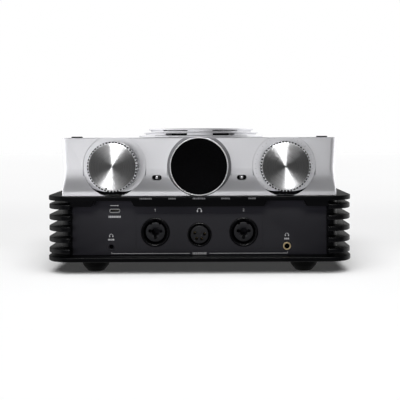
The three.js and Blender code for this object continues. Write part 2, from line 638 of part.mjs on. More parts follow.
// ---------------------------------------------------------------- display
function addDisplay() {
  const ledge = DISPLAY_FRONT + 2.4;
  const shoulder = DISPLAY_SEAT_Y - GAP;
  const neckEnd = FACE_Y + 6;
  const neckInner = DISPLAY_NECK - 1.2;
  const boreRadius = GLASS_RADIUS - 1.2;
  const rim = GLASS_RADIUS + 0.2;
  const barrel = turnedAboutY([[rim, DISPLAY_FRONT + 0.4], [rim + 0.3, DISPLAY_FRONT],
    [DISPLAY_RADIUS - 0.2, DISPLAY_FRONT], [DISPLAY_RADIUS, DISPLAY_FRONT + 0.3],
    [DISPLAY_RADIUS, shoulder], [DISPLAY_NECK, shoulder], [DISPLAY_NECK, neckEnd],
    [neckInner, neckEnd], [neckInner, FACE_Y - 1], [boreRadius, FACE_Y - 1],
    [boreRadius, ledge], [rim, ledge]], 0, DIAL_Z, DIAL_SEGMENTS);
  add('display_barrel', barrel, MATERIALS.silver);

  const glassRadius = GLASS_RADIUS - 0.1;
  const [glassFront, chamfer] = [DISPLAY_FRONT + 0.1, 0.8];
  const glass = turnedAboutY([[0, ledge - GAP], [glassRadius, ledge - GAP],
    [glassRadius, glassFront + chamfer], [glassRadius - chamfer, glassFront], [0, glassFront]],
  0, DIAL_Z, DIAL_SEGMENTS);
  add('display_glass', glass, MATERIALS.glass);
  const module = rodY(neckInner - GAP, ledge + GAP, neckEnd - 1, 0, DIAL_Z);
  add('display_module', module, MATERIALS.plastic);
}

// ---------------------------------------------------------------- knobs, shafts and their controls
const SHAFT_RADIUS = 3;
const SHAFT_FRONT = KNOB_FRONT + 4;
const CONTROL_FRONT = FACE_Y + HOUSING_WALL + GAP;
const PUSH_TRAVEL = 0.7;
const KNOB_WALL = 3;
const KNOB_BOSS = 6.5;               // radius of the boss that grips the shaft
const DOT_PATH = 18.5;               // the index dot's distance from the knob's centre
const ENCODER = { half: 8, depth: 15 };
const POTENTIOMETER = { half: 12, depth: 24 };
const SHAFT_DEPTH = 8;

function knobGeometry(x, dotDegrees) {
  const hollowFront = KNOB_FRONT + 5;
  const inner = KNOB_RADIUS - KNOB_WALL;
  const edge = 0.5;
  const body = turnedAboutY([[0, SHAFT_FRONT - GAP], [SHAFT_RADIUS + GAP, SHAFT_FRONT - GAP],
    [SHAFT_RADIUS + GAP, KNOB_BACK - 1], [KNOB_BOSS, KNOB_BACK - 1], [KNOB_BOSS, hollowFront],
    [inner, hollowFront], [inner, KNOB_BACK], [KNOB_RADIUS - edge, KNOB_BACK],
    [KNOB_RADIUS, KNOB_BACK - edge], [KNOB_RADIUS, KNOB_FRONT + edge], [KNOB_RADIUS - edge, KNOB_FRONT],
    [0, KNOB_FRONT]], x, DIAL_Z, DIAL_SEGMENTS);
  const angle = THREE.MathUtils.degToRad(dotDegrees);
  const dot = rodY(0.8, KNOB_FRONT - 1, KNOB_FRONT + 0.4, x + DOT_PATH * Math.sin(angle),
    DIAL_Z + DOT_PATH * Math.cos(angle), 8);
  return cut(body, dot);
}

function controlBody(x, { half, depth }) {
  const back = CONTROL_FRONT + depth;
  const bush = rodY(BUSH_RADIUS, FACE_Y - 1.7, CONTROL_FRONT + 1, x, DIAL_Z, FINE_SEGMENTS);
  const can = box(x - half, x + half, CONTROL_FRONT, back, DIAL_Z - half, DIAL_Z + half);
  const bore = rodY(SHAFT_RADIUS + GAP, FACE_Y - 3, back - 2, x, DIAL_Z, FINE_SEGMENTS);
  return cut(join(bush, can), bore);
}

// The six-sided nut that clamps a control's bush to the housing, hidden inside the knob.
function nutGeometry(x) {
  const [front, back] = [FACE_Y - 1.2, FACE_Y + POCKET_DEPTH - GAP];
  const [inner, outer] = [BUSH_RADIUS + 1.1, BUSH_RADIUS + 3.2];
  return turnedAboutY([[inner, front], [outer, front], [outer, back], [inner, back]], x, DIAL_Z, 6);
}

function addKnobs() {
  const encoderFloor = CONTROL_FRONT + ENCODER.depth - 2;
  const encoderShaftEnd = CONTROL_FRONT + SHAFT_DEPTH;
  const volumeShaftEnd = CONTROL_FRONT + POTENTIOMETER.depth - 4;
  const shaft = (end, x) => rodY(SHAFT_RADIUS, SHAFT_FRONT, end, x, DIAL_Z, FINE_SEGMENTS);
  add('selector_knob', knobGeometry(-KNOB_X, 195), MATERIALS.knob);
  add('volume_knob', knobGeometry(KNOB_X, -144), MATERIALS.knob);
  add('selector_nut', nutGeometry(-KNOB_X), MATERIALS.steel);
  add('volume_nut', nutGeometry(KNOB_X), MATERIALS.steel);
  add('selector_shaft', shaft(encoderShaftEnd, -KNOB_X), MATERIALS.steel);
  add('volume_shaft', shaft(volumeShaftEnd, KNOB_X), MATERIALS.steel);
  const plunger = rodY(SHAFT_RADIUS - 0.2, encoderShaftEnd + GAP, encoderFloor - GAP - PUSH_TRAVEL,
    -KNOB_X, DIAL_Z, FINE_SEGMENTS);
  add('selector_plunger', plunger, MATERIALS.plastic);
  add('selector_encoder', controlBody(-KNOB_X, ENCODER), MATERIALS.plastic);
  add('volume_potentiometer', controlBody(KNOB_X, POTENTIOMETER), MATERIALS.steel);
}

// ---------------------------------------------------------------- mini lever switches
function addSwitches() {
  const [front, back] = [CONTROL_FRONT, SWITCH_PIVOT_Y + 4];
  const tip = FACE_Y - flareDepth(SWITCH_Z) - 1;
  const can = { halfX: 6.5, halfZ: 4, wall: 1.9 };
  const hubRadius = 1.7;
  const stemHalf = LEVER.halfWidth - 0.45;
  const at = (x, halfX, halfZ, y0, y1) => box(x - halfX, x + halfX, y0, y1,
    SWITCH_Z - halfZ, SWITCH_Z + halfZ);
  for (const [side, sign] of SIDES) {
    const x = sign * SWITCH_X;
    const shell = at(x, can.halfX, can.halfZ, front, back);
    const pocket = at(x, can.halfX - can.wall, can.halfZ - can.wall, front - 1, back - 1.5);
    add(`switch_body_${side}`, cut(shell, pocket), MATERIALS.plastic);

    const stem = at(x, stemHalf, LEVER.halfHeight - 0.3, tip + 2, SWITCH_PIVOT_Y);
    const paddle = at(x, LEVER.halfWidth, LEVER.halfHeight, tip, tip + LEVER.length);
    const hub = rodZ(hubRadius, SWITCH_Z - hubRadius, SWITCH_Z + hubRadius, x, SWITCH_PIVOT_Y);
    add(`switch_lever_${side}`, join(stem, paddle, hub), MATERIALS.knob);
  }
}

// ---------------------------------------------------------------- inside
const BOARD = 1.6;                   // thickness of a circuit board
const MAIN_BOARD_Z = 20;
const DRIVER_BOARD_Z = 70;
const CONTROL_BOARD_Y = -50;

function addBoards() {
  const main = box(-98, 98, -52, 62, MAIN_BOARD_Z, MAIN_BOARD_Z + BOARD);
  const control = box(-104, 104, CONTROL_BOARD_Y, CONTROL_BOARD_Y + BOARD, 69, 107);
  const driver = box(-85, 85, -38, 66, DRIVER_BOARD_Z, DRIVER_BOARD_Z + BOARD);
  add('main_board', main, MATERIALS.board);
  add('control_board', control, MATERIALS.board);
  add('driver_board', driver, MATERIALS.board);
}

function addComponents() {
  const wallX = WIDTH / 2 - FIN_REACH - HEATSINK_WALL - GAP;
  const deviceThickness = 5;
  for (const [side, sign] of SIDES) {
    const filter = rodZ(12.5, MAIN_BOARD_Z + BOARD + GAP, 56, sign * 44, 22);
    add(`filter_capacitor_${side}`, filter, MATERIALS.capacitor);
    const coupling = rodZ(9, DRIVER_BOARD_Z + BOARD + GAP, 100, sign * 28, 20);
    add(`coupling_capacitor_${side}`, coupling, MATERIALS.capacitor);
    const device = box(-deviceThickness / 2, deviceThickness / 2, -10, 10, 26, 52);
    device.translate(sign * (wallX - deviceThickness / 2), 0, 0);
    add(`output_device_${side}`, device, MATERIALS.plastic);
  }
}

addFeet();
addPlates();
addHeatsinks();
addFrontPanel();
addComboJacks();
addBalancedSocket();
addUsbC();
addSmallJacks();
addRearPanel();
addRearSockets();
addHousing();
addTopCaps();
addVent();
addDisplay();
addKnobs();
addSwitches();
addBoards();
addComponents();

export default amplifier;
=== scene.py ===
"""The looks of a desktop headphone amplifier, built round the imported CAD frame.

Metres, +Z up, front facing -Y. Shapes are worked out in millimetres and scaled when they are placed.
"""

import json
import math

import bmesh
import bpy
from mathutils import Matrix, Vector


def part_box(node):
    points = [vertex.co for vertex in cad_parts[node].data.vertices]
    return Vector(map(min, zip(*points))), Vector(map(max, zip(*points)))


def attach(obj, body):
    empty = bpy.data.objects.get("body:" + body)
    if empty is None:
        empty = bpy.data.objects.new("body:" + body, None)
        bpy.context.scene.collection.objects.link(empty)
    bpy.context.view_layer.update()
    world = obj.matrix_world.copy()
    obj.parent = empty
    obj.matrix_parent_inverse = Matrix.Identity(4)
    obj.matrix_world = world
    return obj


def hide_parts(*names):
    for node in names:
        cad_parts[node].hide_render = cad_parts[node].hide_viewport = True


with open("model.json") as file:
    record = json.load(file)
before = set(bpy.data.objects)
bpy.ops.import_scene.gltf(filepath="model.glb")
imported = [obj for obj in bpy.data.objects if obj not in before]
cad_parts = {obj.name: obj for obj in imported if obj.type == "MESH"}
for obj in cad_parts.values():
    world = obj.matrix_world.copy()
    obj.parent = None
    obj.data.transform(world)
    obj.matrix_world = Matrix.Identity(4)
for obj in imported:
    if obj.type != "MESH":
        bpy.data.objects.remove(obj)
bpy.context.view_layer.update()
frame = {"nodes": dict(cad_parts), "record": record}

MM = 0.001
SCENE = bpy.context.scene
SIDES = (("left", -1), ("right", 1))
ROUND = 96                  # facets round a dial-sized circle
SMALL_ROUND = 40            # facets round a small hole or a pin


# ---- the frame, in millimetres
class Span:
    """The box of one CAD node."""

    def __init__(self, node):
        low, high = (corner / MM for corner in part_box(node))
        self.x0, self.y0, self.z0 = low
        self.x1, self.y1, self.z1 = high
        self.x, self.y, self.z = (low + high) / 2
        self.width, _, self.height = high - low


BASE = Span("bottom_plate")
DECK = Span("top_plate")
PANEL = Span("front_panel")
REAR = Span("rear_panel")
HOUSING = Span("upper_housing")
PANEL_SEAM = 0.5                        # how far the panels run up behind the deck, to keep daylight out
FACE_Y = PANEL.y0                       # the housing's flat face is level with the panel's
DIAL_Z = Span("selector_knob").z
KNOB_X = Span("volume_knob").x


# ---- shader helpers
MIX_FIRST, MIX_SECOND, MIX_RESULT = 6, 7, 2     # a Mix node's colour sockets
NOISE_LOW, NOISE_HIGH = 0.3, 0.7                # the middle of a noise texture's range


class Tree:
    """The node tree of a material or a world."""

    def __init__(self, owner):
        owner.use_nodes = True
        self.nodes, self.links = owner.node_tree.nodes, owner.node_tree.links

    def feed(self, node, inputs):
        """Gives each input a socket to follow, or a plain value."""
        for key, value in inputs.items():
            if isinstance(value, bpy.types.NodeSocket):
                self.links.new(value, node.inputs[key])
            else:
                node.inputs[key].default_value = value

    def add(self, kind, inputs=None, **settings):
        """Adds a node and hands back its outputs."""
        node = self.nodes.new(kind)
        for name, value in settings.items():
            setattr(node, name, value)
        self.feed(node, inputs or {})
        return node.outputs

    def noise(self, vector, scale, detail=3.0, roughness=0.55):
        return self.add("ShaderNodeTexNoise", {"Vector": vector, "Scale": scale, "Detail": detail,
                                               "Roughness": roughness})["Fac"]

    def spread(self, value, low, high, start=NOISE_LOW, end=NOISE_HIGH):
        """Maps start to end onto low to high."""
        return self.add("ShaderNodeMapRange", {"Value": value, "From Min": start, "From Max": end,
                                               "To Min": low, "To Max": high})["Result"]

    def mix(self, factor, first, second, blend="MIX"):
        return self.add("ShaderNodeMix", {"Factor": factor, MIX_FIRST: first, MIX_SECOND: second},
                        data_type="RGBA", blend_type=blend)[MIX_RESULT]

    def ramp(self, value, stops, interpolation="LINEAR"):
        """Greys by (position, level) stops."""
        node = self.nodes.new("ShaderNodeValToRGB")
        node.color_ramp.interpolation = interpolation
        elements = node.color_ramp.elements
        while len(elements) < len(stops):
            elements.new(0.5)
        for element, (position, level) in zip(elements, stops):
            element.position = position
            element.color = (level, level, level, 1)
        self.feed(node, {"Fac": value})
        return node.outputs["Color"]


def new_material(name):
    material = bpy.data.materials.new(name)
    tree = Tree(material)
    return material, tree, tree.nodes["Principled BSDF"]


def surface(name, colour, rough, metallic=0.0, grain=1800, depth=0.00001, variation=0.06, specular=0.5):
    """A finish with fine grain, a slow drift of colour and uneven gloss."""
    material, tree, shader = new_material(name)
    vector = tree.add("ShaderNodeTexCoord")["Object"]
    fine = tree.noise(vector, grain)
    drift = tree.spread(tree.noise(vector, 22, 2), 0, 1)
    dark = [channel * (1 - variation) for channel in colour]
    light = [min(1, channel * (1 + variation)) for channel in colour]
    tree.feed(shader, {"Base Color": tree.mix(drift, (*dark, 1), (*light, 1)),
                       "Roughness": tree.spread(fine, rough * 0.9, rough * 1.1),
                       "Normal": tree.add("ShaderNodeBump", {"Distance": depth, "Height": fine})["Normal"],
                       "Metallic": metallic, "Specular IOR Level": specular})
    return material


def spun_metal(name, colour, rough, anisotropy):
    """Metal faced off on a lathe about its own Y axis, with round grooves and radial glints."""
    material, tree, shader = new_material(name)
    point = tree.add("ShaderNodeSeparateXYZ", {"Vector": tree.add("ShaderNodeTexCoord")["Object"]})
    across = tree.add("ShaderNodeCombineXYZ", {"X": point["X"], "Z": point["Z"]})["Vector"]
    radius = tree.add("ShaderNodeVectorMath", {0: across}, operation="LENGTH")["Value"]
    grooves = tree.noise(radius, 3600, 3, 0.7)
    dark = [channel * 0.95 for channel in colour]
    tangent = tree.add("ShaderNodeTangent", direction_type="RADIAL", axis="Y")["Tangent"]
    tree.feed(shader, {"Base Color": tree.mix(tree.spread(grooves, 0, 1), (*dark, 1), (*colour, 1)),
                       "Roughness": tree.spread(grooves, rough * 0.96, rough * 1.04), "Tangent": tangent,
                       "Metallic": 1, "Anisotropic": anisotropy, "Anisotropic Rotation": 0.25})
    return material


def ink(name, grey, blue):
    """Matt print."""
    return surface(name, (grey, grey, blue), 0.6, 0, 2500, 0.000004, 0.12)


FINISHES = {
    "silver": surface("blasted_silver", (0.78, 0.78, 0.805), 0.55, 0.93, 2600, 0.000012, 0.015,
                      specular=0.3),
    "knob_metal": spun_metal("spun_silver", (0.8, 0.8, 0.81), 0.28, 1.0),
    "black_anodised": surface("black_anodised", (0.0022, 0.0022, 0.0027), 0.26, 0, 2200, 0.000004, 0.2,
                              specular=0.17),
    "panel_black": surface("panel_black", (0.0095, 0.0092, 0.0122), 0.5, 0, 3000, 0.000012, 0.12,
                           specular=0.2),
    "display_black": surface("display_black", (0.001, 0.001, 0.0012), 0.06, 0, 900, 0.0000004, 0.3,
                             specular=0.4),
    "socket_plastic": surface("socket_plastic", (0.0015, 0.0015, 0.002), 0.22, 0, 1500, 0.000003, 0.2,
                              specular=0.25),
    "socket_insert": surface("socket_insert", (0.0075, 0.0075, 0.009), 0.45, 0, 1500, 0.00001, 0.15,
                             specular=0.2),
    "inner_plastic": surface("inner_plastic", (0.02, 0.02, 0.022), 0.5, 0, 1200, 0.00002, 0.2),
    "rubber": surface("soft_rubber", (0.0012, 0.0012, 0.0012), 0.75, 0, 1400, 0.00003, 0.25, specular=0.08),
    "gold": surface("gold_plate", (0.72, 0.57, 0.33), 0.3, 0.75, 1800, 0.000004, 0.05),
    "steel": surface("nickel_plate", (0.5, 0.5, 0.51), 0.3, 1, 1800, 0.000006, 0.06),
    "circuit_board": surface("solder_resist", (0.01, 0.07, 0.03), 0.35, 0, 420, 0.00002, 0.4),
    "capacitor_sleeve": surface("shrink_sleeve", (0.015, 0.025, 0.07), 0.3, 0, 500, 0.00001, 0.15),
}
PRINT_LIGHT = ink("light_print", 0.3, 0.31)
PRINT_DIM = ink("dim_print", 0.09, 0.095)
PRINT_LINE = ink("line_print", 0.22, 0.225)
PRINT_GREY = ink("grey_print", 0.36, 0.37)
LEVER_GREY = surface("satin_lever", (0.6, 0.6, 0.61), 0.4, 0.7, 2200, 0.000008, 0.1)
BEZEL_GREY = surface("display_surround", (0.75, 0.75, 0.76), 0.5, 0.9, 2400, 0.00001, 0.05,
                     specular=0.3)
PLATE_BLACK = surface("plate_black", (0.0016, 0.0016, 0.002), 0.3, 0, 2200, 0.000004, 0.2, specular=0.09)
# painted shade for the display's countersink
SEAT_SHADE = surface("seat_painted_shade", (0.2, 0.2, 0.21), 0.5, 0.3, 2400, 0.00001, 0.06, specular=0.3)


# ---- outlines
def arc(a, b, radius, start, end, steps):
    """Points round an arc, in degrees, both ends included."""
    angles = [math.radians(start + (end - start) * i / steps) for i in range(steps + 1)]
    return [(a + radius * math.cos(angle), b + radius * math.sin(angle)) for angle in angles]


def rounded_outline(half_x, half_y, radius, steps=10):
    x, y = half_x - radius, half_y - radius
    return (arc(x, -y, radius, -90, 0, steps) + arc(x, y, radius, 0, 90, steps)
            + arc(-x, y, radius, 90, 180, steps) + arc(-x, -y, radius, 180, 270, steps))


def fillet(corners, steps=4):
    """A closed outline of (a, b, radius) corners, each rounded by its radius."""
    outline = []
    count = len(corners)
    for i, (a, b, radius) in enumerate(corners):
        here = Vector((a, b))
        if radius == 0:
            outline.append((a, b))
            continue
        before = Vector(corners[i - 1][:2]) - here
        after = Vector(corners[(i + 1) % count][:2]) - here
        half = before.angle(after) / 2
        reach = min(radius / math.tan(half), 0.49 * before.length, 0.49 * after.length)
        middle = (before.normalized() + after.normalized()).normalized()
        centre = here + middle * (reach / math.cos(half))
        start = here + before.normalized() * reach - centre
        end = here + after.normalized() * reach - centre
        first = math.atan2(start.y, start.x)
        turn = math.atan2(start.x * end.y - start.y * end.x, start.dot(end))
        for k in range(steps + 1):
            angle = first + turn * k / steps
            outline.append((centre.x + start.length * math.cos(angle),
                            centre.y + start.length * math.sin(angle)))
    return outline


# ---- solids, in millimetres
def loose(form, mesh=None):
    """An edited form as an object of its own."""
    mesh = mesh or bpy.data.meshes.new("shape")
    form.to_mesh(mesh)
    form.free()
    obj = bpy.data.objects.new("shape", mesh)
    SCENE.collection.objects.link(obj)
    return obj


def solid(verts, faces, weld=1e-5, closed=True):
    """A mesh with its doubled points welded. The faces of a closed one all point out."""
    mesh = bpy.data.meshes.new("shape")
    mesh.from_pydata(verts, [], faces)
    form = bmesh.new()
    form.from_mesh(mesh)
    bmesh.ops.remove_doubles(form, verts=form.verts, dist=weld)
    if closed:
        bmesh.ops.recalc_face_normals(form, faces=form.faces)
    return loose(form, mesh)


def place(obj, x=0, y=0, z=0):
    obj.data.transform(Matrix.Translation((x, y, z)))
    return obj


def loft(levels):
    """A closed skin through outlines with equal numbers of 3-D points."""
    count = len(levels[0])
    faces = []
    for level in range(len(levels) - 1):
        for i in range(count):
            a, b = level * count + i, level * count + (i + 1) % count
            faces.append((a, b, b + count, a + count))
    last = (len(levels) - 1) * count
    faces.append(tuple(reversed(range(count))))
    faces.append(tuple(range(last, last + count)))
    return solid([point for level in levels for point in level], faces)


def extruded_up(outline, z0, z1):
    return loft([[(x, y, z) for x, y in outline] for z in (z0, z1)])


def extruded_back(outline, y0, y1):
    """An outline of (x, z) points, extruded along Y."""
    return loft([[(x, y, z) for x, z in outline] for y in (y0, y1)])


def turned(profile, segments=ROUND, along="Y", wave=None):
    """A closed outline of (radius, height) points revolved about Y or Z.

    wave(angle, radius, height) may change the radius round the turn.
    """
    rings, verts = [], []
    for radius, height in profile:
        if radius < 1e-6:
            rings.append([len(verts)] * segments)
            turns = [(0.0, 0.0)]
        else:
            rings.append(list(range(len(verts), len(verts) + segments)))
            turns = []
            for i in range(segments):
                angle = 2 * math.pi * i / segments
                reach = wave(angle, radius, height) if wave else radius
                turns.append((reach * math.sin(angle), reach * math.cos(angle)))
        for a, b in turns:
            verts.append((a, height, b) if along == "Y" else (a, b, height))
    faces = []
    for k in range(len(rings)):
        lower, upper = rings[k], rings[(k + 1) % len(rings)]
        for i in range(segments):
            j = (i + 1) % segments
            corners = (lower[i], lower[j], upper[j], upper[i])
            face = tuple(dict.fromkeys(corners))
            if len(face) > 2:
                faces.append(face)
    return solid(verts, faces)


def rod(radius, low, high, along="Y", segments=SMALL_ROUND):
    return turned([(0, low), (radius, low), (radius, high), (0, high)], segments, along)


def soft_box(x0, x1, y0, y1, z0, z1, radius=0.0, steps=3):
    """A box with all its edges rounded."""
    form = bmesh.new()
    bmesh.ops.create_cube(form, size=1)
    for vert in form.verts:
        vert.co = ((x0 + x1) / 2 + vert.co.x * (x1 - x0), (y0 + y1) / 2 + vert.co.y * (y1 - y0),
                   (z0 + z1) / 2 + vert.co.z * (z1 - z0))
    if radius:
        bmesh.ops.bevel(form, geom=form.edges[:], offset=radius, segments=steps, profile=0.5,
                        affect="EDGES", clamp_overlap=True)
    return loose(form)


def modified(obj, kind, **settings):
    """Adds one modifier and applies it to the mesh."""
    modifier = obj.modifiers.new("step", kind)
    for name, value in settings.items():
        setattr(modifier, name, value)
    bpy.context.view_layer.update()
    evaluated = obj.evaluated_get(bpy.context.evaluated_depsgraph_get())
    mesh = bpy.data.meshes.new_from_object(evaluated)
    obj.modifiers.clear()
    obj.data = mesh
    return obj


def combined(obj, operation, others):
    for other in others:
        modified(obj, "BOOLEAN", operation=operation, solver="EXACT", object=other)
        bpy.data.objects.remove(other)
    return obj


def cut(obj, *cutters):
    return combined(obj, "DIFFERENCE", cutters)


def join(obj, *others):
    return combined(obj, "UNION", others)


def gathered(*parts):
    """Several separate shapes as one mesh."""
    form = bmesh.new()
    for part in parts:
        form.from_mesh(part.data)
        bpy.data.objects.remove(part)
    return loose(form)


def bevelled(obj, width, steps=2, angle=40):
    return modified(obj, "BEVEL", width=width, segments=steps, limit_method="ANGLE",
                    angle_limit=math.radians(angle), use_clamp_overlap=True)


def lathe(span, corners, steps=4, segments=ROUND):
    """Filleted (radius, y, rounding) corners turned about the middle line of a node."""
    return place(turned(fillet(corners, steps), segments), span.x, 0, span.z)


def ring_of(span, radius, *degrees):
    """The (x, z) places at some angles round the middle line of a node."""
    angles = [math.radians(turn) for turn in degrees]
    return [(span.x + radius * math.cos(angle), span.z + radius * math.sin(angle)) for angle in angles]


def set_shading(mesh, sharp_degrees):
    """Smooth faces, with a crease wherever two of them meet at more than an angle."""
    limit = math.radians(sharp_degrees)
    form = bmesh.new()
    form.from_mesh(mesh)
    for face in form.faces:
        face.smooth = True
    for edge in form.edges:
        edge.smooth = len(edge.link_faces) == 2 and edge.calc_face_angle(0) < limit
    form.to_mesh(mesh)
    form.free()


def finish(obj, name, slot, body="chassis", replaces=None, material=None, sharp=28, origin=(0, 0, 0)):
    """Names a shape, gives it its finish, scales it to metres and hangs it on its body."""
    obj.name = name
    obj.data.name = name
    set_shading(obj.data, sharp)
    obj.data.transform(Matrix.Scale(MM, 4) @ Matrix.Translation(-Vector(origin)))
    obj.location = Vector(origin) * MM
    obj.data.materials.clear()
    obj.data.materials.append(material or FINISHES[slot])
    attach(obj, body)
    if replaces:
        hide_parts(replaces)
    return obj


# ---- upper housing
FLARE_TOP = 87              # the face sweeps forward below this level
FLARE_BEND = 1.9            # puts the steepest slope low on the sweep
FLARE_LEAN = 0.3            # share of the sweep that is a straight slope from a crease at its top
FLARE_RUN = 2.6             # upright band at the foot
HOUSING_CORNER = 6.5
FOOT_CORNER = 1.2
HOUSING_TAPER = 3           # each side leans in by this much at the foot
HOUSING_WALL = 3
POCKET_RADIUS = 26.3
POCKET_DEPTH = 0.6
DISPLAY_LAND = 27.1
DISPLAY_SEAT = 2
MOUTH_RADIUS = 25           # each dial's opening closes to this at the front of the flare
SHAFT_HOLE = 4.8
VENT_BORE = 40
LEVER_SLOT = (4.1, 2.1, 2.09)           # half width, half height and corner radius


def flare_depth(z):
    """How far the housing's face stands forward of flat at a height."""
    reach = FACE_Y - HOUSING.y0
    down = min(max((FLARE_TOP - z) / (FLARE_TOP - HOUSING.z0 - FLARE_RUN), 0), 1)
    sweep = (1 - math.cos(math.pi * down ** FLARE_BEND)) / 2
    return reach * (FLARE_LEAN * down + (1 - FLARE_LEAN) * sweep)


def housing_level(z, inset=0.0):
    down = min(max((FLARE_TOP - z) / (FLARE_TOP - HOUSING.z0), 0), 1)
    rise = (z - HOUSING.z0) / HOUSING.height
    half = HOUSING.x1 - HOUSING_TAPER * (1 - rise) - inset
    corner = HOUSING_CORNER + (FOOT_CORNER - HOUSING_CORNER) * down ** 0.8
    front, back = FACE_Y - flare_depth(z) + inset, HOUSING.y1 - inset
    rear = HOUSING_CORNER
    steps = 10
    outline = (arc(half - corner, front + corner, corner, -90, 0, steps)
               + arc(half - rear, back - rear, rear, 0, 90, steps)
               + arc(-half + rear, back - rear, rear, 90, 180, steps)
               + arc(-half + corner, front + corner, corner, 180, 270, steps))
    return [(x, y, z) for x, y in outline]


def scallop(x, radius):
    """Clears the flared foot round a dial, wider behind than at its mouth."""
    profile = [(0, FACE_Y - 20), (MOUTH_RADIUS, FACE_Y - 20), (MOUTH_RADIUS, HOUSING.y0),
               (radius, FACE_Y - 0.02), (0, FACE_Y - 0.02)]
    return place(turned(profile), x, 0, DIAL_Z)


def dial_pocket(x):
    """The shallow round pocket that a knob sits over, with a broken edge."""
    floor = FACE_Y + POCKET_DEPTH
    profile = [(0, FACE_Y - 1), (POCKET_RADIUS + 1.2, FACE_Y - 1), (POCKET_RADIUS + 0.2, FACE_Y),
               (POCKET_RADIUS, FACE_Y + 0.2), (POCKET_RADIUS, floor), (0, floor)]
    return place(turned(profile), x, 0, DIAL_Z)


def pocket_shadow_strip(x):
    """A black strip that stands for the deep shadow at the foot of a knob's pocket."""
    outer, spread, steps = POCKET_RADIUS - 0.15, 45, 26
    rim, hidden = [], []
    for i in range(steps + 1):
        turn = 2 * i / steps - 1
        angle = math.radians(270 + spread * turn)
        inner = outer - 0.1 - 6 * (1 - abs(turn))
        for radius, edge in ((outer, rim), (inner, hidden)):
            z = max(DIAL_Z + radius * math.sin(angle), HOUSING.z0 + 0.1)
            edge.append((x + radius * math.cos(angle), z))
    return extruded_back(rim + hidden[::-1], FACE_Y + 0.25, FACE_Y + POCKET_DEPTH + 0.2)


def make_housing():
    edge = 0.5
    sweep = 30
    levels = [housing_level(HOUSING.z0 + (FLARE_TOP - HOUSING.z0) * i / sweep) for i in range(sweep + 1)]
    levels.append(housing_level(HOUSING.z1 - edge))
    for i in range(1, 5):
        angle = math.radians(90 * i / 4)
        drop, inset = edge * (1 - math.sin(angle)), edge * (1 - math.cos(angle))
        levels.append(housing_level(HOUSING.z1 - drop, inset))
    shell = loft(levels)

    half = HOUSING.x1 - HOUSING_TAPER - HOUSING_WALL
    deep = (HOUSING.y1 - FACE_Y) / 2
    hollow = rounded_outline(half, deep - HOUSING_WALL, HOUSING_CORNER - HOUSING_WALL)
    middle = (HOUSING.y1 + FACE_Y) / 2
    cavity = place(extruded_up(hollow, HOUSING.z0 - 5, HOUSING.z1 - HOUSING_WALL), 0, middle, 0)

    wall_back = FACE_Y + HOUSING_WALL + 1
    barrel = Span("display_barrel")
    seat_radius, neck = barrel.height / 2 + 0.3, 20.3
    seat = turned([(0, FACE_Y - 1), (DISPLAY_LAND + 1, FACE_Y - 1), (DISPLAY_LAND, FACE_Y),
                   (seat_radius, FACE_Y + DISPLAY_SEAT), (neck, FACE_Y + DISPLAY_SEAT),
                   (neck, wall_back), (0, wall_back)])
    cutters = [cavity, scallop(0, DISPLAY_LAND), place(seat, 0, 0, DIAL_Z)]
    for side, sign in SIDES:
        x = sign * KNOB_X
        lever = Span(f"switch_lever_{side}")
        cutters += [scallop(x, POCKET_RADIUS), dial_pocket(x)]
        cutters.append(place(rod(SHAFT_HOLE, FACE_Y - 1, wall_back), x, 0, DIAL_Z))
        slot = rounded_outline(*LEVER_SLOT, 8)
        cutters.append(place(extruded_back(slot, FACE_Y - 12, wall_back), lever.x, 0, lever.z))
        cap = Span(f"top_cap_{side}")
        recess = rod(cap.width / 2 + 0.25, HOUSING.z1 - 1, HOUSING.z1 + 1, "Z")
        cutters.append(place(recess, cap.x, cap.y, 0))
    mesh = Span("vent_mesh")
    cutters.append(place(rod(VENT_BORE, HOUSING.z1 - 10, HOUSING.z1 + 1, "Z", ROUND), 0, mesh.y, 0))
    finish(cut(shell, *cutters), "housing_shell", "silver", replaces="upper_housing", sharp=24)
    for side, sign in SIDES:
        # painted shadow: a black strip under each knob stands for the shade at the foot of its pocket
        finish(pocket_shadow_strip(sign * KNOB_X), f"pocket_foot_{side}", "socket_plastic")


# ---- knobs
KNURLS = 48
RIM_DROP = 1.25             # the smooth face stands this far inside the knurled band
NOTCH_DEPTH = 1.2
DOT_PATH = 18.5


def knurl(angle, radius, outer):
    """Straight notches round the outside of the grip band."""
    if radius < outer - 0.3:
        return radius
    phase = (angle * KNURLS / (2 * math.pi)) % 1
    depth = 1 if phase < 0.6 else 0
    return radius - NOTCH_DEPTH * depth


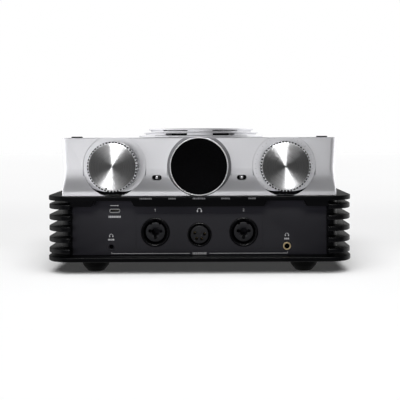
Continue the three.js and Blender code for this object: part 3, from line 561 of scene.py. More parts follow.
def make_knob(node, shaft, dot_degrees, name, body):
    knob = Span(node)
    outer = knob.height / 2
    front, back = knob.y0, knob.y1
    bore = Span(shaft).height / 2 + 0.3
    inner = outer - 3
    face = outer - RIM_DROP
    profile = fillet([(0, Span(shaft).y0 - 0.3, 0), (bore, Span(shaft).y0 - 0.3, 0), (bore, back - 1, 0),
                      (6.5, back - 1, 0.3), (6.5, front + 5, 0.4), (inner, front + 5, 0.4),
                      (inner, back, 0.2), (outer, back, 0.4)], 3)
    profile += [(outer, back - 1), (face, back - 1), (face, front + 0.45)]
    profile += arc(face - 0.45, front + 0.45, 0.45, 0, -90, 3)[1:]
    profile += [(face - 2, front + 0.02), (outer / 2, front + 0.04), (0, front + 0.05)]

    shape = place(turned(profile, KNURLS * 8), knob.x, 0, knob.z)
    angle = math.radians(dot_degrees)
    dot_x, dot_z = knob.x + DOT_PATH * math.sin(angle), knob.z + DOT_PATH * math.cos(angle)
    dimple = place(rod(0.75, front - 1, front + 0.4), dot_x, 0, dot_z)
    finish(cut(shape, dimple), name, "knob_metal", body, node, sharp=30,
           origin=(knob.x, front, knob.z))

    def teeth(angle, radius, height):
        return knurl(angle, radius, outer)

    grip = turned([(face - 0.3, front + 1.2), (outer - 0.1, front + 1.2), (outer, front + 1.4),
                   (outer, back - 1.05), (face - 0.3, back - 1.05)], KNURLS * 8, wave=teeth)
    finish(place(grip, knob.x, 0, knob.z), f"{name}_grip_band", "silver", body, sharp=20)
    # painted shadow: a black ring behind the knurl's notches, so that they read as deep dark grooves
    washer = turned([(face - 0.2, front + 1.55), (outer - 0.05, front + 1.55), (outer - 0.05, front + 2),
                     (face - 0.2, front + 2)])
    finish(place(washer, knob.x, 0, knob.z), f"{name}_groove_ring", "socket_plastic", body)
    dot = place(turned([(0, front + 0.42), (0.74, front + 0.42), (0.74, front + 0.2), (0, front + 0.16)], 24),
                dot_x, 0, dot_z)
    finish(dot, f"{name}_index_dot", "socket_plastic", body)


# ---- display
def make_display():
    barrel, glass = Span("display_barrel"), Span("display_glass")
    outer, front = barrel.height / 2, barrel.y0
    window = glass.height / 2 + 0.2
    shoulder = FACE_Y + DISPLAY_SEAT - 0.3
    ring = fillet([(window + 0.1, front + 0.3, 0.05), (window + 0.2, front, 0.05), (outer - 0.05, front, 0.1),
                   (outer, shoulder, 0.15), (20, shoulder, 0), (20, barrel.y1, 0), (18.8, barrel.y1, 0),
                   (18.8, FACE_Y - 1, 0), (window - 1.1, FACE_Y - 1, 0), (window - 1.1, front + 2.4, 0),
                   (window + 0.1, front + 2.4, 0)], 4)
    finish(place(turned(ring), 0, 0, DIAL_Z), "display_bezel", "silver", replaces="display_barrel",
           material=BEZEL_GREY)

    # painted shade: a dark grey ring laid in the display's countersink, where the seat falls in shadow
    seat = turned([(outer + 0.35, FACE_Y + 1.5), (DISPLAY_LAND - 0.2, FACE_Y + 0.05),
                   (DISPLAY_LAND - 0.2, FACE_Y + 0.3), (outer + 0.35, FACE_Y + DISPLAY_SEAT - 0.1)])
    seat = place(seat, 0, 0, DIAL_Z)
    above = soft_box(-40, 40, FACE_Y - 5, FACE_Y + 5, HOUSING.z1 - 0.6, HOUSING.z1 + 10)
    below = soft_box(-40, 40, FACE_Y - 5, FACE_Y + 5, HOUSING.z0 - 10, HOUSING.z0 + 0.1)
    finish(cut(seat, above, below), "display_seat_ring", "silver", material=SEAT_SHADE)

    face = glass.y0
    profile = [(0, glass.y1), (window, glass.y1)] + arc(window - 0.3, face + 0.35, 0.3, 0, -90, 4)
    profile += [(window - 1, face + 0.07), (window - 1.2, face + 0.12), (0, face + 0.12)]
    finish(place(turned(profile), 0, 0, DIAL_Z), "display_window", "display_black",
           replaces="display_glass", sharp=20)


# ---- mini levers
def make_levers():
    for side, _ in SIDES:
        lever = Span(f"switch_lever_{side}")
        pivot = lever.y1 - 1.7
        paddle = soft_box(lever.x - 0.95, lever.x + 0.95, lever.y0, lever.y0 + 4.6,
                          lever.z - 0.9, lever.z + 1.4, 0.45, 4)
        stem = soft_box(lever.x - 0.8, lever.x + 0.8, lever.y0 + 3.5, pivot, lever.z - 1.2, lever.z + 1.2,
                        0.2, 2)
        hub = place(turned(fillet([(0, lever.z - 1.7, 0), (1.7, lever.z - 1.7, 0.2),
                                   (1.7, lever.z + 1.7, 0.2), (0, lever.z + 1.7, 0)], 3),
                           SMALL_ROUND, "Z"), lever.x, pivot, 0)
        finish(join(paddle, stem, hub), f"mini_lever_{side}", "knob_metal", f"{side}_lever",
               f"switch_lever_{side}", LEVER_GREY)


# ---- base plates
BASE_CORNER = 20
EDGE = 0.7                  # rounding of the plates' edges
DECK_THICKNESS = 3.9
LIP_HALF = 106.4
LIP_THICKNESS = 3.5
NOTCH_TOP, NOTCH_FOOT = 15, 17.4        # half widths of the lip's notch under a knob


def plate_outline(inset, steps=24):
    return rounded_outline(BASE.x1 - inset, BASE.y1 - inset, BASE_CORNER - inset, steps)


def rounded_plate(z0, z1, radius=EDGE):
    """A base plate with both of its edges rounded."""
    steps = 4
    lower = [(radius - y, z0 + radius - x) for x, y in arc(0, 0, radius, 0, 90, steps)]
    levels = [(inset, z) for inset, z in lower]
    levels += [(inset, z0 + z1 - z) for inset, z in reversed(lower)]
    return loft([[(x, y, z) for x, y in plate_outline(inset)] for inset, z in levels])


def lip_outline():
    """The deck's front lip seen from the front, lifted to the plate under each knob."""
    low, high, roof = DECK.z0, DECK.z1 - 1, DECK.z1 - DECK_THICKNESS
    corners = [(-LIP_HALF, high, 0), (-LIP_HALF, low, 1.2)]
    for centre in (-KNOB_X, KNOB_X):
        corners += [(centre - NOTCH_FOOT, low, 2), (centre - NOTCH_TOP, roof, 0.8),
                    (centre + NOTCH_TOP, roof, 0.8), (centre + NOTCH_FOOT, low, 2)]
    corners += [(LIP_HALF, low, 1.2), (LIP_HALF, high, 0)]
    return fillet(corners, 5)


def make_plates():
    lower = rounded_plate(BASE.z0, BASE.z1)
    finish(lower, "base_plate", "black_anodised", replaces="bottom_plate", material=PLATE_BLACK)

    deck = rounded_plate(DECK.z1 - DECK_THICKNESS, DECK.z1)
    lip = bevelled(extruded_back(lip_outline(), DECK.y0, DECK.y0 + LIP_THICKNESS), 0.35, 2, 50)
    opening = extruded_up(rounded_outline(80, 50, 8), DECK.z1 - 6, DECK.z1 + 2)
    finish(cut(join(deck, lip), opening), "deck_plate", "black_anodised", replaces="top_plate",
           material=PLATE_BLACK)


# ---- heatsinks
FIN_PITCH = 9.2
FIN_THICKNESS = 4.2
FIN_COUNT = 5
FIRST_FIN = 16.8
FIN_INSET = 0.4
VALLEY = 11.5
WALL_INSET = 16


def comb_section(z0, z1):
    """The fins' section as (inset from the base's outline, height) points."""
    corners = [(WALL_INSET, z0, 0), (VALLEY, z0, 0)]
    for i in range(FIN_COUNT):
        low = FIRST_FIN + i * FIN_PITCH
        high = low + FIN_THICKNESS
        corners += [(VALLEY, low, 0.5), (FIN_INSET, low, 0.9), (FIN_INSET, high, 0.9), (VALLEY, high, 0.5)]
    corners += [(VALLEY, z1, 0), (WALL_INSET, z1, 0)]
    return fillet(corners, 4)


def side_path(inset, sign):
    """Half of the base's outline, from the front panel round to the rear panel."""
    end = Span("heatsink_left").x1
    x, y = BASE.x1 - BASE_CORNER, BASE.y1 - BASE_CORNER
    radius = BASE_CORNER - inset
    points = [(-end, -y - radius)] + arc(x, -y, radius, -90, 0, 22) + arc(x, y, radius, 0, 90, 22)
    points.append((-end, y + radius))
    return [(sign * px, py) for px, py in points]


def make_heatsinks():
    for side, sign in SIDES:
        sink = Span(f"heatsink_{side}")
        section = comb_section(sink.z0, sink.z1)
        columns = [[(x, y, z) for x, y in side_path(inset, sign)] for inset, z in section]
        levels = [list(level) for level in zip(*columns)]
        finish(loft(levels), f"finned_side_{side}", "black_anodised", replaces=f"heatsink_{side}")


# ---- front panel
def pill(width, height):
    return rounded_outline(width / 2, height / 2, height / 2 - 0.02, 10)


SUB_PLATE = (-53.4, 53.4, 18.3, 49.4)   # x0, x1, z0, z1 of the plate round the middle sockets


def frame_groove(x0, x1, z0, z1, width, depth):
    """The thin line round a sub-plate, as a square ring cutter."""
    outer = extruded_back([(x0, z0), (x1, z0), (x1, z1), (x0, z1)], FACE_Y - 1, FACE_Y + depth)
    inner = extruded_back([(x0 + width, z0 + width), (x1 - width, z0 + width), (x1 - width, z1 - width),
                           (x0 + width, z1 - width)], FACE_Y - 2, FACE_Y + depth + 1)
    return cut(outer, inner)


def make_front_panel():
    panel = soft_box(PANEL.x0, PANEL.x1, PANEL.y0, PANEL.y1, PANEL.z0, PANEL.z1 + PANEL_SEAM, 0.25, 2)
    cutters = []
    for node in ("combo_jack_shell_left", "combo_jack_shell_right", "balanced_socket_shell",
                 "small_headphone_jack", "large_headphone_jack"):
        jack = Span(node)
        hole = rod(jack.height / 2 + 0.15, PANEL.y0 - 1, PANEL.y1 + 1, segments=ROUND)
        cutters.append(place(hole, jack.x, 0, jack.z))
    usb = Span("usb_c_socket")
    slot = extruded_back(pill(usb.width + 0.3, usb.height + 0.3), PANEL.y0 - 1, PANEL.y1 + 1)
    cutters.append(place(slot, usb.x, 0, usb.z))
    cutters.append(frame_groove(*SUB_PLATE, 0.3, 0.35))
    finish(cut(panel, *cutters), "front_fascia", "panel_black", replaces="front_panel")


# ---- sockets on the front
def make_combo_jacks():
    for side, _ in SIDES:
        shell, core = Span(f"combo_jack_shell_{side}"), Span(f"combo_jack_insert_{side}")
        outer, mouth, front, back = shell.height / 2, 9.7, shell.y0, shell.y1
        flange = lathe(shell, [(0, back, 0), (outer, back, 0), (outer, front, 0.45),
                               (outer - 1.3, front, 0.3), (outer - 1.5, front + 0.55, 0.2),
                               (mouth + 0.8, front + 0.55, 0.3), (mouth, front + 1.5, 0.3),
                               (mouth, back - 2, 0), (0, back - 2, 0)])
        key = soft_box(shell.x - 1.6, shell.x + 1.6, front - 1, front + 10, shell.z + mouth - 1,
                       shell.z + mouth + 1.1, 0.3, 2)
        finish(cut(flange, key), f"combo_flange_{side}", "socket_plastic",
               replaces=f"combo_jack_shell_{side}")

        radius, face = core.height / 2, core.y0
        insert = lathe(core, [(0, core.y1, 0), (radius, core.y1, 0), (radius, face, 0.5), (4.6, face, 0.3),
                              (3.6, face + 0.8, 0.2), (0, face + 0.8, 0)])
        cutters = [place(rod(3.4, face - 1, core.y1 - 3), core.x, 0, core.z)]
        for x, z in ring_of(core, 4.6, 12, 168, 270):
            cutters.append(place(rod(1.5, face - 1, face + 12), x, 0, z))
        for x, z in ring_of(core, 8.3, 62, 118):
            cutters.append(place(rod(1.1, face - 1, face + 14, segments=24), x, 0, z))
        finish(cut(insert, *cutters), f"combo_core_{side}", "socket_insert",
               replaces=f"combo_jack_insert_{side}")


def make_balanced_socket():
    shell, core = Span("balanced_socket_shell"), Span("balanced_socket_insert")
    outer, mouth, front, back = shell.height / 2, 8.6, shell.y0, shell.y1
    ring = lathe(shell, [(0, back, 0), (outer, back, 0), (outer, front, 0.5), (mouth + 0.3, front, 0.3),
                         (mouth, front + 0.8, 0.2), (mouth, back - 2, 0), (0, back - 2, 0)])
    key = soft_box(-1.3, 1.3, front - 1, front + 10, shell.z + mouth - 1, shell.z + mouth + 0.8, 0.25, 2)
    finish(cut(ring, key), "balanced_ring", "socket_plastic", replaces="balanced_socket_shell")

    radius, face = core.height / 2, core.y0
    body = lathe(core, [(0, core.y1, 0), (radius, core.y1, 0), (radius, face, 0.4), (0, face, 0)])
    entry = [(0, face - 1), (1.7, face - 0.3), (1.25, face + 0.4), (1.25, face + 11), (0, face + 11)]
    sleeve = [(0.6, face + 8), (0.95, face + 8), (0.95, face + 10.5), (0.6, face + 10.5)]
    places = ring_of(core, 4.2, 160, 234, 297, 5)
    finish(cut(body, *[place(turned(entry, 24), x, 0, z) for x, z in places]), "balanced_core",
           "socket_insert", replaces="balanced_socket_insert")
    contacts = [place(turned(sleeve, 20), x, 0, z) for x, z in places]
    finish(gathered(*contacts), "balanced_contacts", "gold")


def make_usb_c():
    usb = Span("usb_c_socket")
    wall = 0.42
    shell = extruded_back(pill(usb.width, usb.height), usb.y0, usb.y1)
    mouth = extruded_back(pill(usb.width - 2 * wall, usb.height - 2 * wall), usb.y0 - 1, usb.y1 - 2)
    shell = bevelled(cut(shell, mouth), 0.1, 2, 60)
    finish(place(shell, usb.x, 0, usb.z), "usb_c_shell", "steel", replaces="usb_c_socket",
           material=PRINT_LINE)
    tongue = soft_box(usb.x - 3.2, usb.x + 3.2, usb.y0 + 1, usb.y1 - 1.5, usb.z - 0.36, usb.z + 0.36, 0.12, 2)
    finish(tongue, "usb_c_tongue", "socket_plastic")
    pads = []
    for i in range(8):
        x = usb.x - 2.45 + 0.7 * i
        pads.append(soft_box(x - 0.15, x + 0.15, usb.y0 + 1.4, usb.y1 - 3, usb.z + 0.3, usb.z + 0.4, 0.02, 1))
    finish(gathered(*pads), "usb_c_contacts", "gold")


def make_small_jacks():
    for node, bore, name, slot in (("small_headphone_jack", 1.8, "small_jack_bush", "panel_black"),
                                   ("large_headphone_jack", 2.3, "large_jack_bush", "socket_plastic")):
        jack = Span(node)
        outer, front, back = jack.height / 2, jack.y0, jack.y1
        bush = lathe(jack, [(0, back, 0), (outer, back, 0), (outer, front, 0.2), (bore + 0.35, front, 0.2),
                            (bore, front + 0.5, 0.15), (bore, back - 2, 0), (0, back - 2, 0)], 3, 64)
        finish(bush, name, "socket_plastic", replaces=node, material=FINISHES[slot])
    ring = Span("gold_jack_ring")
    outer, front, back = ring.height / 2, ring.y0, ring.y1
    trim = lathe(ring, [(outer - 0.9, front, 0.15), (outer - 0.25, front, 0.2), (outer, front + 0.3, 0.1),
                        (outer, back, 0), (outer - 1.1, back, 0), (outer - 1.1, front + 0.2, 0.1)], 4, 64)
    finish(trim, "jack_trim_ring", "gold", replaces="gold_jack_ring")


# ---- printed marks
PRINT = 0.04                # how far a printed mark stands on its surface


def bar(x, z, width, height, front=None):
    """A flat printed bar on the front, in place of a word."""
    front = FACE_Y if front is None else front
    outline = rounded_outline(width / 2, height / 2, min(width, height) * 0.35, 3)
    return place(extruded_back(outline, front - PRINT, front + 0.1), x, 0, z)


def marks_row(x, z, width, height, front=None):
    """A row of short uneven dashes, in place of a printed word."""
    lengths = (0.62, 0.9, 0.48, 0.76, 1.0, 0.56)
    gap = 0.34
    dashes, at, i = [], -width / 2, 0
    while at < width / 2 - 0.3:
        length = min(lengths[i % len(lengths)], width / 2 - at)
        dashes.append(bar(x + at + length / 2, z, length, height, front))
        at += length + gap
        i += 1
    return dashes


def band(x, z, radius, width, start, end, front=None):
    """A printed arc."""
    front = FACE_Y if front is None else front
    outline = arc(0, 0, radius + width / 2, start, end, 16) + arc(0, 0, radius - width / 2, end, start, 16)
    return place(extruded_back(outline, front - PRINT, front + 0.1), x, 0, z)


def headphones(x, z, size):
    """A generic headphone sign: a headband over two pads."""
    reach = size * 0.42
    return [band(x, z - size * 0.05, reach, size * 0.11, 0, 180),
            bar(x - reach, z - size * 0.22, size * 0.26, size * 0.42),
            bar(x + reach, z - size * 0.22, size * 0.26, size * 0.42)]


def numeral_one(x, z, size):
    return [bar(x, z, size * 0.16, size), bar(x - size * 0.12, z + size * 0.38, size * 0.24, size * 0.14)]


def numeral_two(x, z, size):
    stroke = size * 0.15
    return [band(x, z + size * 0.22, size * 0.2, stroke, -20, 180),
            bar(x, z - size * 0.42, size * 0.54, stroke),
            bar(x - size * 0.05, z - size * 0.18, size * 0.2, stroke),
            bar(x - size * 0.14, z - size * 0.3, size * 0.18, stroke)]


def make_panel_print():
    combo, four = Span("combo_jack_shell_right"), Span("balanced_socket_shell")
    small, gold, usb = Span("small_headphone_jack"), Span("large_headphone_jack"), Span("usb_c_socket")
    above = 52
    marks = headphones(four.x, above, 3.9)
    marks += numeral_one(-combo.x, above, 2.2) + numeral_two(combo.x, above, 2.2)
    for jack, width in ((small, 5.4), (gold, 4.2)):
        marks += headphones(jack.x, jack.z + 9.6, 3.2)
        marks += marks_row(jack.x, jack.z + 6.1, width, 1.5)
    marks += marks_row(usb.x, usb.z - 5, 10.4, 1.8)
    marks.append(bar(usb.x - 1, usb.z + 4.4, 5.5, 0.5))
    marks.append(bar(usb.x + 2.6, usb.z + 4.4, 1, 1))
    finish(gathered(*marks), "panel_signs", "panel_black", material=PRINT_LIGHT)

    line = PANEL.z0 + 1.3
    ends = [bar(sign * 41, line, 65.6, 0.5) for _, sign in SIDES]
    ends += [bar(sign * 73.8, line + 0.5, 0.45, 1.4) for _, sign in SIDES]
    ends += marks_row(0, line, 11.5, 1.9)
    finish(gathered(*ends), "output_bracket", "panel_black", material=PRINT_LINE)

    widths = (9.9, 6.6, 10.3, 7.4, 6.6)
    pitch = 22
    labels = []
    for i, width in enumerate(widths):
        labels += marks_row((i - 2) * pitch, DECK.z1 - 1.9, width, 1.4, DECK.y0)
    finish(gathered(*labels), "lip_labels", "black_anodised", material=PRINT_DIM)


def make_housing_print():
    floor = FACE_Y + POCKET_DEPTH
    ticks = []
    for i in range(31):
        degrees = -144 + 288 * i / 30
        angle = math.radians(degrees)
        radius = 24
        x, z = KNOB_X + radius * math.sin(angle), DIAL_Z + radius * math.cos(angle)
        if z > HOUSING.z1 - 1:
            continue
        outline = rounded_outline(0.12, 0.55 if i % 5 else 0.85, 0.1, 2)
        tick = extruded_back(outline, floor - PRINT, floor + 0.1)
        tick.data.transform(Matrix.Rotation(angle, 4, "Y"))
        ticks.append(place(tick, x, 0, z))
    finish(gathered(*ticks), "volume_scale", "silver", material=PRINT_GREY)
    labels = []
    for side, _ in SIDES:
        lever = Span(f"switch_lever_{side}")
        labels += marks_row(lever.x, lever.z + 4.6, 5.5, 0.8)
    finish(gathered(*labels), "lever_labels", "silver", material=PRINT_GREY)


# ---- vent
def make_vent():
    lower, middle, upper = (Span(f"vent_plate_{tier}") for tier in ("lower", "middle", "upper"))
    well = 44
    ring = fillet([(well + 0.8, lower.z0, 0), (lower.width / 2, lower.z0, 0.15),
                   (lower.width / 2, lower.z1, 0.45), (well + 0.8, lower.z1, 0.2)], 4)
    finish(place(turned(ring, 128, "Z"), 0, lower.y, 0), "vent_ring_lower", "silver",
           replaces="vent_plate_lower")

    openings = {"middle": (12.5, 36), "upper": (13.5, 45)}
    thickness = {"middle": 0.9, "upper": 1.4}
    for tier, plate in (("middle", middle), ("upper", upper)):
        bottom = plate.z1 - thickness[tier]
        inner = well if tier == "middle" else 0
        edge = min(0.45, thickness[tier] * 0.4)
        disc = turned(fillet([(inner, bottom, 0), (plate.width / 2, bottom, edge * 0.6),
                              (plate.width / 2, plate.z1, edge), (inner, plate.z1, 0)], 4), 128, "Z")
        outer = plate.width / 2 - 2
        riser = turned([(well, plate.z0), (outer, plate.z0), (outer, bottom + 0.2), (well, bottom + 0.2)],
                       128, "Z")
        slots = []
        for turn in (-90, 90):
            for sign in (-1, 1):
                near, far = (turn + sign * degrees for degrees in openings[tier])
                wedge = [(0, 0)] + arc(0, 0, 70, min(near, far), max(near, far), 10)
                floor = plate.z0 - 1 if tier == "middle" else plate.z0 + 0.8
                slots.append(extruded_up(wedge, floor, bottom))
        shape = join(cut(riser, *slots), disc)
        if tier == "upper":
            shape = cut(shape, *[window_cutter(sign, bottom - 4, plate.z1 + 1) for sign in (-1, 1)])
        finish(place(shape, 0, lower.y, 0), f"vent_tier_{tier}", "silver", replaces=f"vent_plate_{tier}")


def window_cutter(sign, z0, z1):
    """A D-shaped window beside the bridge across the vent."""
    radius, bridge = 41, 11.5
    half = math.degrees(math.acos(bridge / radius))
    outline = arc(0, 0, radius, -half, half, 40)
    return extruded_up([(sign * x, y) for x, y in outline], z0, z1)


COLLAR_RADIUS = 43.8        # the screen's frame stands up behind the vent's slots


def make_vent_mesh():
    """A sheet of six-sided holes held in a rim."""
    span = Span("vent_mesh")
    pitch, hole = 2.5, 0.95
    reach = span.width / 2 - 1.6
    corner = pitch / math.sqrt(3)
    row_step = pitch * math.sqrt(3) / 2
    rows = int(reach / row_step) + 1
    verts, faces = [], []
    for row in range(-rows, rows + 1):
        for column in range(-rows, rows + 1):
            x, y = (column + 0.5 * (row % 2)) * pitch, row * row_step
            if math.hypot(x, y) > reach - corner:
                continue
            first = len(verts)
            for size in (corner, hole):
                for a, b in arc(x, y, size, 30, 330, 5):
                    verts.append((a, b, span.z1 - 0.6))
            for k in range(6):
                j = (k + 1) % 6
                faces.append((first + k, first + j, first + 6 + j, first + 6 + k))
    sheet = modified(solid(verts, faces, 1e-3, False), "SOLIDIFY", thickness=0.5, offset=1)

    def square_ring(inner, outer, low, high):
        return turned([(inner, low), (outer, low), (outer, high), (inner, high)], ROUND, "Z")

    rim = square_ring(reach - 2.2, span.width / 2, span.z0, span.z1 - 0.1)
    roof = Span("vent_plate_upper").z1 - 1.6
    collar = square_ring(COLLAR_RADIUS - 0.9, COLLAR_RADIUS, HOUSING.z1 + 0.1, roof)
    finish(place(gathered(sheet, rim, collar), 0, span.y, 0), "perforated_screen", "black_anodised",
           replaces="vent_mesh")


def make_top_caps():
    for side, _ in SIDES:
        cap = Span(f"top_cap_{side}")
        radius = cap.width / 2
        profile = fillet([(0, cap.z0, 0), (radius, cap.z0, 0), (radius, cap.z1, 0.5),
                          (radius - 1.2, cap.z1, 0.2), (radius - 1.4, cap.z1 - 0.2, 0.15),
                          (0, cap.z1 - 0.2, 0)], 4)
        finish(place(turned(profile, 64, "Z"), cap.x, cap.y, 0), f"black_cap_{side}", "socket_plastic",
               replaces=f"top_cap_{side}")


# ---- feet and screws
def screw_head(radius, height, socket):
    """A low round head with a six-sided socket, its face up at height."""
    profile = fillet([(0, 0, 0), (radius, 0, 0), (radius, height, height * 0.5), (0, height, 0)], 4)
    return cut(turned(profile, 32, "Z"), rod(socket, height * 0.35, height + 1, "Z", 6))


def make_feet():
    for place_name in ("front", "rear"):
        for side, _ in SIDES:
            foot = Span(f"foot_{place_name}_{side}")
            top, height = foot.width / 2, foot.z1
            profile = fillet([(0, 1.2, 0), (3.4, 1.2, 0.3), (3.4, 0, 0.3), (7, 0, 0.6), (10.6, 4.4, 1.5),
                              (top, height - 0.6, 0.4), (top, height, 0.2), (0, height, 0)], 4)
            finish(place(turned(profile, 72, "Z"), foot.x, foot.y, 0), f"rubber_foot_{place_name}_{side}",
                   "rubber", replaces=f"foot_{place_name}_{side}")
            screw = screw_head(2.6, 0.8, 1.1)
            screw.data.transform(Matrix.Rotation(math.pi, 4, "X"))
            finish(place(screw, foot.x, foot.y, 1.15), f"foot_screw_{place_name}_{side}", "steel")


def make_case_screws():
    screws = []
    for x in (-100, 0, 100):
        for y in (-60, 60):
            screw = screw_head(2.4, 0.6, 1.0)
            screw.data.transform(Matrix.Rotation(math.pi, 4, "X"))
            screws.append(place(screw, x * 0.96, y * 1.25 if x == 0 else y * 0.66, BASE.z0 + 0.05))
    finish(gathered(*screws), "base_screws", "steel")
    screws = []
    for x in (REAR.x0 + 4.5, REAR.x1 - 4.5):
        for z in (REAR.z0 + 4.5, REAR.z1 - 4.5):
            screw = screw_head(2.2, 0.9, 1.0)
            screw.data.transform(Matrix.Rotation(-math.pi / 2, 4, "X"))
            screws.append(place(screw, x, REAR.y1 - 0.05, z))
    finish(gathered(*screws), "rear_screws", "steel")


# ---- rear panel and its sockets
def make_rear():
    panel = soft_box(REAR.x0, REAR.x1, REAR.y0, REAR.y1, REAR.z0, REAR.z1 + PANEL_SEAM, 0.25, 2)
    cutters = []
    round_nodes = [f"balanced_output_{side}" for side, _ in SIDES] + ["power_inlet"]
    round_nodes += [f"phono_socket_{side}_{level}" for side, _ in SIDES for level in ("lower", "upper")]
    for node in round_nodes:
        jack = Span(node)
        hole = rod(jack.height / 2 + 0.2, REAR.y0 - 1, REAR.y1 + 1, segments=64)
        cutters.append(place(hole, jack.x, 0, jack.z))
    usb = Span("usb_b_socket")
    cutters.append(soft_box(usb.x0 - 0.2, usb.x1 + 0.2, REAR.y0 - 1, REAR.y1 + 1, usb.z0 - 0.2, usb.z1 + 0.2))
    finish(cut(panel, *cutters), "rear_fascia", "panel_black", replaces="rear_panel")

    for side, _ in SIDES:
        make_rear_output(side)
        for level in ("lower", "upper"):
            make_phono(side, level)
    make_usb_b(usb)
    make_inlet()


def make_rear_output(side):
    jack = Span(f"balanced_output_{side}")
    outer, front, back = jack.height / 2, jack.y0, jack.y1
    inner = outer - 2.8
    cup = lathe(jack, [(0, front, 0), (outer, front, 0), (outer, back, 0.4), (inner + 0.4, back, 0.3),
                       (inner, back - 0.8, 0.2), (inner, front + 3, 0), (0, front + 3, 0)])
    finish(cup, f"output_cup_{side}", "steel", replaces=f"balanced_output_{side}")
    pin = fillet([(0, front + 2.5, 0), (1.2, front + 2.5, 0), (1.2, back - 4, 0.8), (0, back - 4, 0)], 4)
    pins = [place(turned(pin, 24), x, 0, z) for x, z in ring_of(jack, 5.6, 90, 210, 330)]
    finish(gathered(*pins), f"output_pins_{side}", "gold")


def make_phono(side, level):
    jack = Span(f"phono_socket_{side}_{level}")
    outer, front, back = jack.height / 2, jack.y0, jack.y1
    wall = REAR.y1 + 0.8
    barrel = lathe(jack, [(0, front, 0), (outer, front, 0), (outer, back, 0.35), (3.2, back, 0.2),
                          (3.2, front + 4, 0), (0, front + 4, 0)], 4, 64)
    finish(barrel, f"phono_barrel_{side}_{level}", "gold", replaces=f"phono_socket_{side}_{level}")
    core = lathe(jack, [(1.6, front + 3.8, 0), (3.15, front + 3.8, 0), (3.15, back - 0.5, 0.2),
                        (1.9, back - 0.5, 0.2), (1.6, back - 0.9, 0.1)], 3, 48)
    finish(core, f"phono_core_{side}_{level}", "socket_plastic")
    washer = lathe(jack, [(outer + 0.1, wall - 0.9, 0), (outer + 1.6, wall - 0.9, 0.1),
                          (outer + 1.6, wall, 0.25), (outer + 0.1, wall, 0.1)], 3, 48)
    finish(washer, f"phono_washer_{side}_{level}", "socket_plastic")


def make_usb_b(usb):
    shell = soft_box(usb.x0, usb.x1, usb.y0, usb.y1, usb.z0, usb.z1, 0.3, 2)
    mouth = soft_box(usb.x0 + 1.2, usb.x1 - 1.2, usb.y1 - 10, usb.y1 + 1, usb.z0 + 1.2, usb.z1 - 1.2, 0.5, 2)
    finish(cut(shell, mouth), "usb_b_shell", "steel", replaces="usb_b_socket")
    tongue = soft_box(usb.x - 2.8, usb.x + 2.8, usb.y1 - 11, usb.y1 - 1.6, usb.z - 1.5, usb.z + 1.5, 0.3, 2)
    finish(tongue, "usb_b_tongue", "inner_plastic")

def make_inlet():
    inlet = Span("power_inlet")
    outer, front, back = inlet.height / 2, inlet.y0, inlet.y1
    bush = lathe(inlet, [(0, front, 0), (outer, front, 0), (outer, back, 0.3), (3.4, back, 0.3),
                         (3.2, back - 0.6, 0.1), (3.2, front + 5, 0), (0, front + 5, 0)], 3, 64)
    finish(bush, "inlet_bush", "socket_plastic", replaces="power_inlet")
    pin = lathe(inlet, [(0, front + 4.5, 0), (1.2, front + 4.5, 0), (1.2, back - 1.8, 0.5),
                        (0, back - 1.8, 0)], 4, 32)
    finish(pin, "inlet_pin", "steel")


# ---- CAD nodes that keep their shape
def finish_cad_nodes():
    slots = {part["node"]: part["material_slot"] for part in frame["record"]["subparts"]}
    for name, obj in frame["nodes"].items():
        obj.data.materials.clear()
        obj.data.materials.append(FINISHES[slots[name]])


# ---- camera, stage and light
def add_camera():
    """A level view along +Y, a little right of the middle, just above the housing's top."""
    distance = 0.575
    data = bpy.data.cameras.new("camera")
    data.sensor_width = 36
    data.lens = 62.8
    data.shift_x = -0.0363
    data.shift_y = -0.161
    camera = bpy.data.objects.new("camera", data)
    camera.location = (0.0129, DECK.y0 * MM - distance, 0.1145)
    camera.rotation_euler = (math.radians(90), math.radians(0.2), 0)
    SCENE.collection.objects.link(camera)
    SCENE.camera = camera


# the stage's lightness as (y in metres, level): painted shade, a little darker round the amplifier
FLOOR_SHADE_LEVELS = ((-0.3, 0.94), (-0.18, 0.93), (-0.1, 0.91), (-0.02, 0.88), (0.08, 0.81), (0.28, 0.83),
              (0.6, 0.89), (1.1, 0.915), (2.4, 0.93), (4.0, 0.96))


def add_floor():
    """A pale sheet with painted shade round the amplifier; its faint glow is painted light that lightens the
    shadow under the base.
    """
    material, tree, shader = new_material("stage_white")
    vector = tree.add("ShaderNodeTexCoord")["Object"]
    mottle = tree.mix(tree.noise(vector, 4, 2), (0.985, 0.985, 0.99, 1), (1, 1, 1, 1))
    start, end = FLOOR_SHADE_LEVELS[0][0], FLOOR_SHADE_LEVELS[-1][0]
    along = tree.spread(tree.add("ShaderNodeSeparateXYZ", {"Vector": vector})["Y"], 0, 1, start, end)
    # painted shade: the floor's colour darkens round the amplifier
    floor_shade = tree.ramp(along, [((y - start) / (end - start), level) for y, level in FLOOR_SHADE_LEVELS])
    tree.feed(shader, {"Base Color": tree.mix(1, floor_shade, mottle, "MULTIPLY"), "Roughness": 0.7,
                       "Specular IOR Level": 0.1, "Emission Color": (1, 1, 1, 1),
                       "Emission Strength": 0.045})
    half, front, back = 3.0, -0.64, 4.0
    mesh = bpy.data.meshes.new("floor")
    corners = [(-half, front, 0), (half, front, 0), (half, back, 0), (-half, back, 0)]
    mesh.from_pydata(corners, [], [(0, 1, 2, 3)])
    mesh.materials.append(material)
    floor = bpy.data.objects.new("floor", mesh)
    floor.visible_glossy = False
    SCENE.collection.objects.link(floor)


SIDE_TURN = math.radians(18)    # the bright surround comes further forward on the left


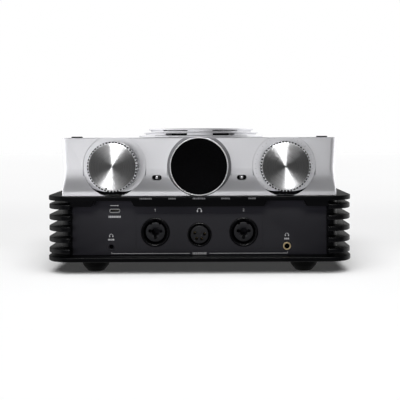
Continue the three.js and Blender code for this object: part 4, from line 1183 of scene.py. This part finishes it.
def add_world():
    """Bright sides, dimmer straight behind, a dark band in front over a grey foreground, a dim ceiling.

    What the camera sees behind the amplifier is plain white.
    """
    world = bpy.data.worlds.new("studio")
    tree = Tree(world)
    direction = tree.add("ShaderNodeTexCoord")["Generated"]

    def halved(value):
        """Maps -1 to 1 onto 0 to 1."""
        return tree.add("ShaderNodeMath", {0: value, 1: 0.5, 2: 0.5}, operation="MULTIPLY_ADD")["Value"]

    height = halved(tree.add("ShaderNodeSeparateXYZ", {"Vector": direction})["Z"])
    front = tree.ramp(height, ((0, 0.35), (0.2, 0.3), (0.4, 0.03), (0.6, 0.04), (1, 0.2)), "EASE")
    around = tree.ramp(height, ((0, 0.5), (0.45, 0.95), (0.6, 0.95), (0.85, 0.3), (1, 0.2)), "EASE")
    behind = (-math.sin(SIDE_TURN), math.cos(SIDE_TURN), 0)
    facing = tree.add("ShaderNodeVectorMath", {0: direction, 1: behind}, operation="DOT_PRODUCT")["Value"]
    turn = tree.ramp(halved(facing), ((0, 0), (0.26, 0), (0.38, 1), (0.78, 1), (0.96, 0.2)), "EASE")
    seen = tree.add("ShaderNodeLightPath")["Is Camera Ray"]
    shown = tree.mix(seen, tree.mix(turn, front, around), (1, 1, 1, 1))
    tree.feed(tree.nodes["Background"], {"Color": shown})
    world.cycles_visibility.diffuse = False
    SCENE.world = world


def add_light(data, name, receivers, diffuse, glossy):
    light = bpy.data.objects.new(name, data)
    light.visible_camera = False
    light.visible_diffuse = diffuse
    light.visible_glossy = glossy
    light.light_linking.receiver_collection = receivers
    SCENE.collection.objects.link(light)
    return light


def add_softbox(name, where, target, size, power, receivers, mirrored, shape="RECTANGLE"):
    """A studio light that either shapes the reflections or lights the dull surfaces."""
    data = bpy.data.lights.new(name, "AREA")
    data.shape = shape
    data.size, data.size_y = size
    data.energy = power
    light = add_light(data, name, receivers, not mirrored, mirrored)
    light.location = where
    light.rotation_euler = (Vector(target) - Vector(where)).to_track_quat("-Z", "Y").to_euler()


def add_sun(name, strength, elevation, spread_degrees, receivers):
    """Even light from above the front; metal doesn't mirror it."""
    data = bpy.data.lights.new(name, "SUN")
    data.energy = strength
    data.angle = math.radians(spread_degrees)
    light = add_light(data, name, receivers, True, False)
    light.rotation_euler = (math.radians(90 - elevation), 0, 0)


def light_group(name, included=(), excluded=()):
    """A set of objects that a light falls on, or leaves out."""
    group = bpy.data.collections.new(name)
    for obj in (*included, *excluded):
        group.objects.link(obj)
    for member, obj in zip(group.collection_objects, (*included, *excluded)):
        member.light_linking.link_state = "INCLUDE" if obj in included else "EXCLUDE"
    return group


def add_lights():
    dial = DIAL_Z * MM
    target = (-0.035, 0, dial)
    floor = bpy.data.objects["floor"]
    blasted = [obj for obj in bpy.data.objects
               if obj.type == "MESH" and FINISHES["silver"].name in obj.data.materials]
    stage = light_group("stage_only", included=(floor,))
    product = light_group("product_only", excluded=(floor,))
    polished = light_group("polished_only", excluded=(floor, *blasted))
    add_softbox("front_key", (-0.035, -1.35, dial + 0.92), target, (0.68, 0.4), 21, polished, True)
    for name, width, power in (("front_fill", 1.3, 8), ("front_spread", 2.1, 8), ("front_haze", 3.4, 10)):
        add_softbox(name, (-0.035, -1.4, dial + 0.96), target, (width, 0.5), power, polished, True, "ELLIPSE")
    card = light_group("blasted_only", included=blasted)
    add_softbox("front_card", (-0.36, -1.2, 0.13), target, (1.6, 0.3), 5.4, card, True)
    for name, sign in (("left_card", -1), ("right_card", 1)):
        add_softbox(name, (sign * 1.3, 0.25, 0.35), target, (1.4, 1.0), 7, card, True)
    add_softbox("back_card", (0, 1.6, 0.9), target, (3.0, 1.3), 22, card, True)
    add_softbox("front_wash", (-0.4, -1.4, 0.05), target, (0.9, 0.6), 22, product, False)
    add_sun("stage_light", 3.55, 68, 70, stage)
    add_sun("dome", 0.2, 88, 170, product)


SCENE.view_settings.view_transform = "Standard"
add_camera()
finish_cad_nodes()
make_housing()
make_knob("selector_knob", "selector_shaft", 195, "selector_dial_knob", "selector_dial")
make_knob("volume_knob", "volume_shaft", -144, "volume_dial_knob", "volume_dial")
make_display()
make_levers()
make_plates()
make_heatsinks()
make_front_panel()
make_combo_jacks()
make_balanced_socket()
make_usb_c()
make_small_jacks()
make_panel_print()
make_housing_print()
make_vent()
make_vent_mesh()
make_top_caps()
make_feet()
make_case_screws()
make_rear()
add_floor()
add_world()
add_lights()
